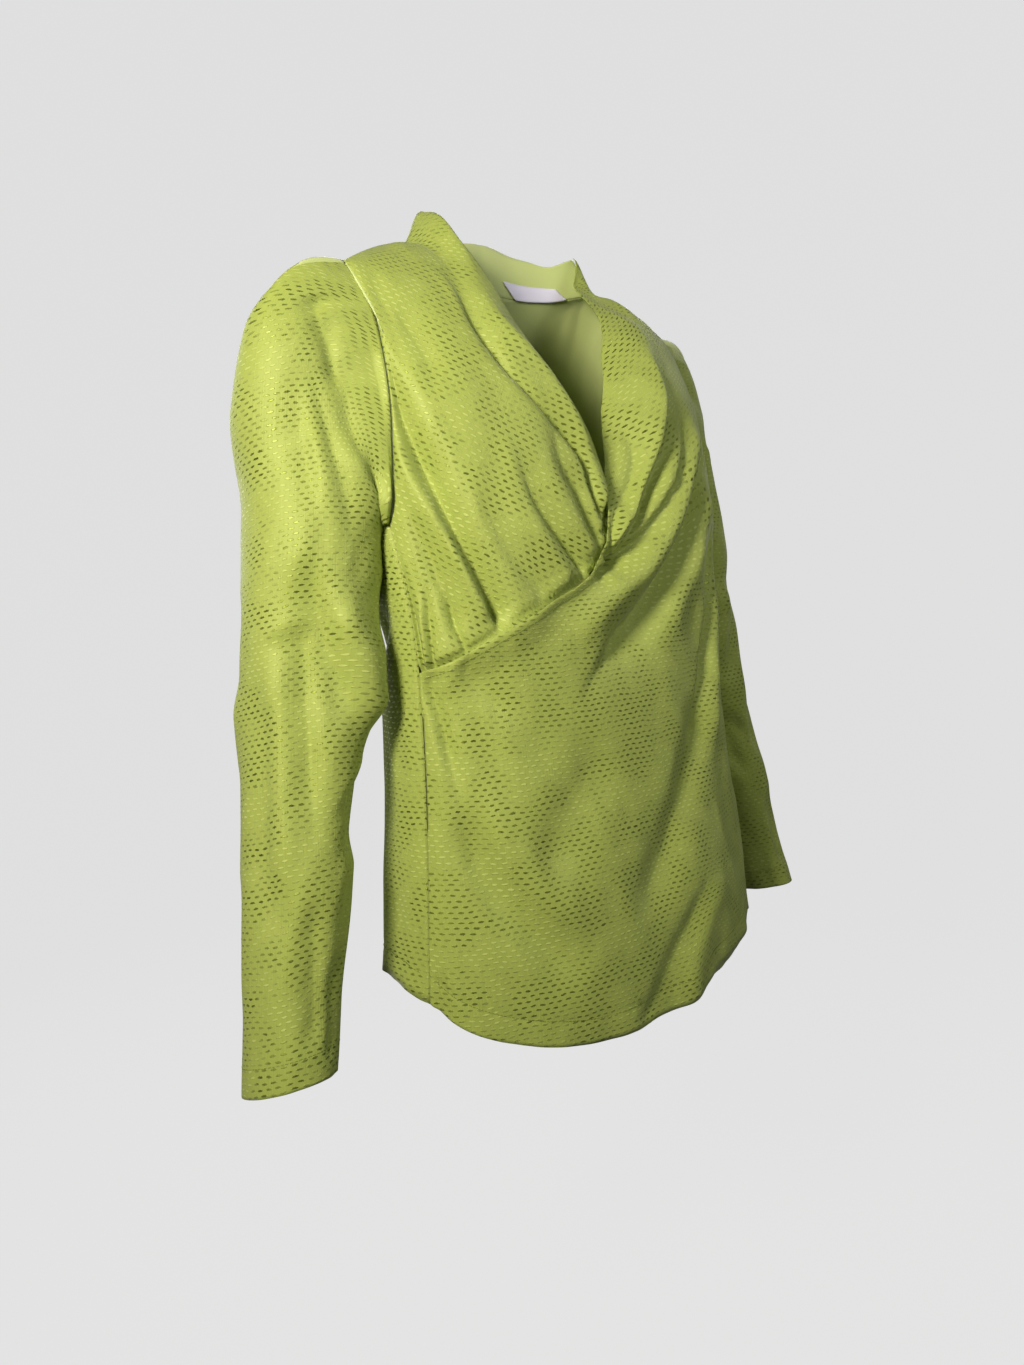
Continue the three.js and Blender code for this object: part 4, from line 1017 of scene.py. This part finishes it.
def sewing_thread():
    """Polyester sewing thread, a shade deeper than the cloth, with its twisted plies as fine
    slanting bars, drawn 0.8 mm apart so that they show: the bars' pale and dark colours are
    painted light and shade of the twist, and a bump gives them relief."""
    twist = {"bands_direction": "DIAGONAL", "Scale": 800.0}
    # The bars' two colours are painted light and painted shade of the twisted plies
    shades = ("#6f7b30", "#86923e")
    material, tree, shader, plies = two_shades(
        "sewing thread", "TexWave", twist, 1, shades, 0.5
    )
    bump = {"Strength": 0.5, "Distance": 0.0001}
    bump = add_node(tree, "Bump", bump, {"Height": plies})
    tree.links.new(bump.outputs[0], shader.inputs["Normal"])
    return material


FACE, BACKSIDE, TAPE, THREAD = satin_face(), satin_back(), label_tape(), sewing_thread()
CLOTH = (FACE, BACKSIDE)


def dress(piece, node):
    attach(piece, ROOT)
    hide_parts(node)
    return piece


def mirrored_patch(surface):
    return lambda u, v: surface(u, v) * (-1, 1)


left_front_cut = panel_surface(over_patch, over_relief, swung_grain, left_settle)
right_front_cut = panel_surface(mirrored_patch(under_patch), under_relief, turned_grain)
back_cut = panel_surface(back_patch, back_relief, top_fade=NECK_FADE)
right_arm_cut = sleeve_surface(-1, RIGHT_SLEEVE_FOLDS, RIGHT_SLEEVE_DRAPE)
left_arm_cut = sleeve_surface(1, LEFT_SLEEVE_FOLDS, LEFT_SLEEVE_DRAPE)

# Cells across and up each piece, for creases of 2 to 3 mm
FRONT_CELLS, BACK_CELLS, ARM_CELLS = (200, 215), (150, 170), (130, 230)
STAND_CELLS, LABEL_CELLS = (90, 14), (30, 8)
left_front = cloth_piece("left_front_cloth", left_front_cut, *FRONT_CELLS, CLOTH)
right_front = cloth_piece("right_front_cloth", right_front_cut, *FRONT_CELLS, CLOTH)
back = cloth_piece("back_cloth", back_cut, *BACK_CELLS, CLOTH)
right_sleeve = cloth_piece("right_sleeve_cloth", right_arm_cut, *ARM_CELLS, CLOTH, closed=True)
left_sleeve = cloth_piece("left_sleeve_cloth", left_arm_cut, *ARM_CELLS, CLOTH, closed=True)
collar_stand = cloth_piece("collar_stand_cloth", collar_stand_surface, *STAND_CELLS, CLOTH)

STITCH_PITCH, STITCH_LENGTH, STITCH_WIDTH, STITCH_HEIGHT = 3.2, 2.2, 0.5, 0.4
STRIP_SHARE, STRIP_STEPS, STRIP_INNER = 0.12, 25, 8


def line_beside_edge(surface, along_u, from_v, inset):
    """Points on a surface a set distance in from its edge at v = 0 or 1, and its normals."""
    steps = np.linspace(from_v, abs(from_v - STRIP_SHARE), STRIP_STEPS)
    u, v = np.meshgrid(along_u, steps, indexing="ij")
    strips = surface(u.ravel(), v.ravel())[0].reshape(len(along_u), STRIP_STEPS, 3)
    lengths = running_length(strips, 1)
    points = [
        [np.interp(inset, length, strip[:, k]) for k in range(3)]
        for length, strip in zip(lengths, strips)
    ]
    beside = np.gradient(strips[:, 0], axis=0)
    return np.array(points), np.cross(strips[:, STRIP_INNER] - strips[:, 0], beside)


def stitch_row(name, points, normals):
    """Row of small thread stitches that lie along points on the cloth."""
    lengths = running_length(points, 0)
    size = Matrix.Diagonal((STITCH_LENGTH * MM, STITCH_WIDTH * MM, STITCH_HEIGHT * MM, 1))
    bm = bmesh.new()
    for start in np.arange(1, lengths[-1] - STITCH_LENGTH, STITCH_PITCH):
        a, b, normal = (
            Vector([np.interp(start + shift, lengths, table[:, k]) for k in range(3)])
            for shift, table in ((0, points), (STITCH_LENGTH, points), (0, normals))
        )
        along = (b - a).normalized()
        side = along.cross(normal).normalized()
        turned = Matrix((along, side, along.cross(side))).transposed().to_4x4()
        bmesh.ops.create_cube(bm, size=1, matrix=Matrix.Translation((a + b) / 2 * MM) @ turned @ size)
    mesh = bpy.data.meshes.new(name)
    bm.to_mesh(mesh)
    bm.free()
    mesh.materials.append(THREAD)
    row = bpy.data.objects.new(name, mesh)
    bpy.context.scene.collection.objects.link(row)
    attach(row, ROOT)


# Where the stitches run along each edge, as shares of it
HEM_RUN = np.linspace(0.02, 0.98, 150)
WRAP_RUN = np.linspace(0.01, 0.42, 80)
CUFF_RUN = np.linspace(0, 1, 90)
stitch_row("front_hem_stitches", *line_beside_edge(left_front_cut, HEM_RUN, 0, HEM_DEPTH))
stitch_row("wrap_edge_stitches", *line_beside_edge(left_front_cut, WRAP_RUN, 1, WRAP_HEM_DEPTH))
stitch_row("back_hem_stitches", *line_beside_edge(back_cut, HEM_RUN, 0, HEM_DEPTH))
stitch_row("right_cuff_stitches", *line_beside_edge(right_arm_cut, CUFF_RUN, 1, HEM_DEPTH))
stitch_row("left_cuff_stitches", *line_beside_edge(left_arm_cut, CUFF_RUN, 1, HEM_DEPTH))

# The label lies on the stand's inner side, its foot just below the stand's seam
LABEL_LENGTH, LABEL_DROP, LABEL_CENTRE, LABEL_SLANT = 58, 13, 45, 7
LABEL_FOOT, STAND_HEIGHT = -0.02, 36
LABEL_AHEAD = (0, -2, 0)


def label_surface(u, v):
    across = LABEL_CENTRE + (u - 0.5) * LABEL_LENGTH + (1 - v) * LABEL_SLANT
    share = 0.5 + across / (2 * NECK_POINT)
    points, cloth = collar_stand_surface(share, LABEL_FOOT + v * LABEL_DROP / STAND_HEIGHT)
    return points + LABEL_AHEAD, cloth


label = cloth_piece("label_tape", label_surface, *LABEL_CELLS, (TAPE,), thickness=TAPE_THICKNESS)

for piece, node in (
    (left_front, "left_front"), (right_front, "right_front"), (back, "back"),
    (right_sleeve, "right_sleeve"), (left_sleeve, "left_sleeve"), (collar_stand, "collar_stand"),
):
    dress(piece, node)
dress(label, "label")

# Stage, in metres: a pale paper floor, well below the top, that curves up into the backdrop
FLOOR_Z, FLOOR_RADIUS, FLOOR_CELLS = -1.25, 7, 40
FLOOR_FLAT, FLOOR_CURVE = 3.2, 0.55


def backdrop_paper():
    """Matt white paper, with its own even glow in place of separate background lamps."""
    material, _, shader = new_material("matt backdrop paper")
    shader.inputs["Emission Color"].default_value = linear("#ffffff")
    shader.inputs["Emission Strength"].default_value = 0.735
    shader.inputs["Base Color"].default_value = linear("#4a4a4a")
    shader.inputs["Roughness"].default_value = 0.95
    shader.inputs["Specular IOR Level"].default_value = 0.1
    return material


def stage():
    bm = bmesh.new()
    bmesh.ops.create_grid(bm, x_segments=FLOOR_CELLS, y_segments=FLOOR_CELLS, size=FLOOR_RADIUS)
    for vertex in bm.verts:
        radius = math.hypot(vertex.co.x, vertex.co.y)
        vertex.co.z = FLOOR_Z + max(0, radius - FLOOR_FLAT) ** 2 * FLOOR_CURVE
    mesh = bpy.data.meshes.new("backdrop")
    bm.to_mesh(mesh)
    bm.free()
    mesh.polygons.foreach_set("use_smooth", [True] * len(mesh.polygons))
    mesh.materials.append(backdrop_paper())
    floor = bpy.data.objects.new("backdrop", mesh)
    bpy.context.scene.collection.objects.link(floor)
    # The paper stands well away from the top, so it throws no light back on the cloth
    floor.visible_diffuse = False
    floor.visible_glossy = False


# Camera at the photograph's angle, found from the top's own outline
CAMERA_YAW, CAMERA_PITCH, CAMERA_ROLL = 43.0, 5.8, -3.1
CAMERA_PLACE = Vector((-643.6, -647.6, -270.1)) * MM
FOCAL_PIXELS = 1016.4
IMAGE_LONG_SIDE = 1365
SENSOR = 36


def camera():
    yaw, pitch, roll = (math.radians(a) for a in (CAMERA_YAW, CAMERA_PITCH, CAMERA_ROLL))
    ahead = Vector((math.sin(yaw) * math.cos(pitch), math.cos(yaw) * math.cos(pitch), -math.sin(pitch)))
    right = Vector((math.cos(yaw), -math.sin(yaw), 0))
    up = right.cross(ahead)
    x = right * math.cos(roll) + up * math.sin(roll)
    y = -right * math.sin(roll) + up * math.cos(roll)
    data = bpy.data.cameras.new("camera")
    data.sensor_fit = "AUTO"
    data.sensor_width = SENSOR
    data.lens = SENSOR * FOCAL_PIXELS / IMAGE_LONG_SIDE
    data.clip_end = 50
    eye = bpy.data.objects.new("camera", data)
    eye.matrix_world = Matrix.Translation(CAMERA_PLACE) @ Matrix((x, y, -ahead)).transposed().to_4x4()
    bpy.context.scene.collection.objects.link(eye)
    bpy.context.scene.camera = eye


# Soft lamps that all face the chest: name, place in metres, size, power, spread in degrees
# and colour. The key stands low at the wearer's right
CHEST = Vector((0.0, -0.1, -0.2))
LAMPS = [
    ("key", (-1.27, -0.5, 0.22), 0.26, 7.0, 100, "#fff8ec"),
    ("fill", (0.45, -1.5, 0.45), 0.8, 8, 180, "#ffffff"),
    ("back fill", (-0.2, 1.7, 0.35), 1.2, 14, 180, "#ffffff"),
    ("far side fill", (1.6, 0.5, 0.2), 1.2, 4, 180, "#ffffff"),
]
ROOM_LIGHT = 0.06


def area_light(name, place, size, power, spread, colour):
    data = bpy.data.lights.new(name, "AREA")
    data.size = size
    data.spread = math.radians(spread)
    data.energy = power
    data.color = linear(colour)[:3]
    lamp = bpy.data.objects.new(name, data)
    lamp.visible_camera = False
    lamp.location = place
    lamp.rotation_euler = (CHEST - Vector(place)).to_track_quat("-Z", "Y").to_euler()
    bpy.context.scene.collection.objects.link(lamp)


def studio():
    world = bpy.data.worlds.new("studio")
    world.use_nodes = True
    background = world.node_tree.nodes["Background"]
    background.inputs["Color"].default_value = linear("#ffffff")
    background.inputs["Strength"].default_value = ROOM_LIGHT
    bpy.context.scene.world = world
    for lamp in LAMPS:
        area_light(*lamp)
    bpy.context.scene.view_settings.view_transform = "Standard"


stage()
camera()
studio()
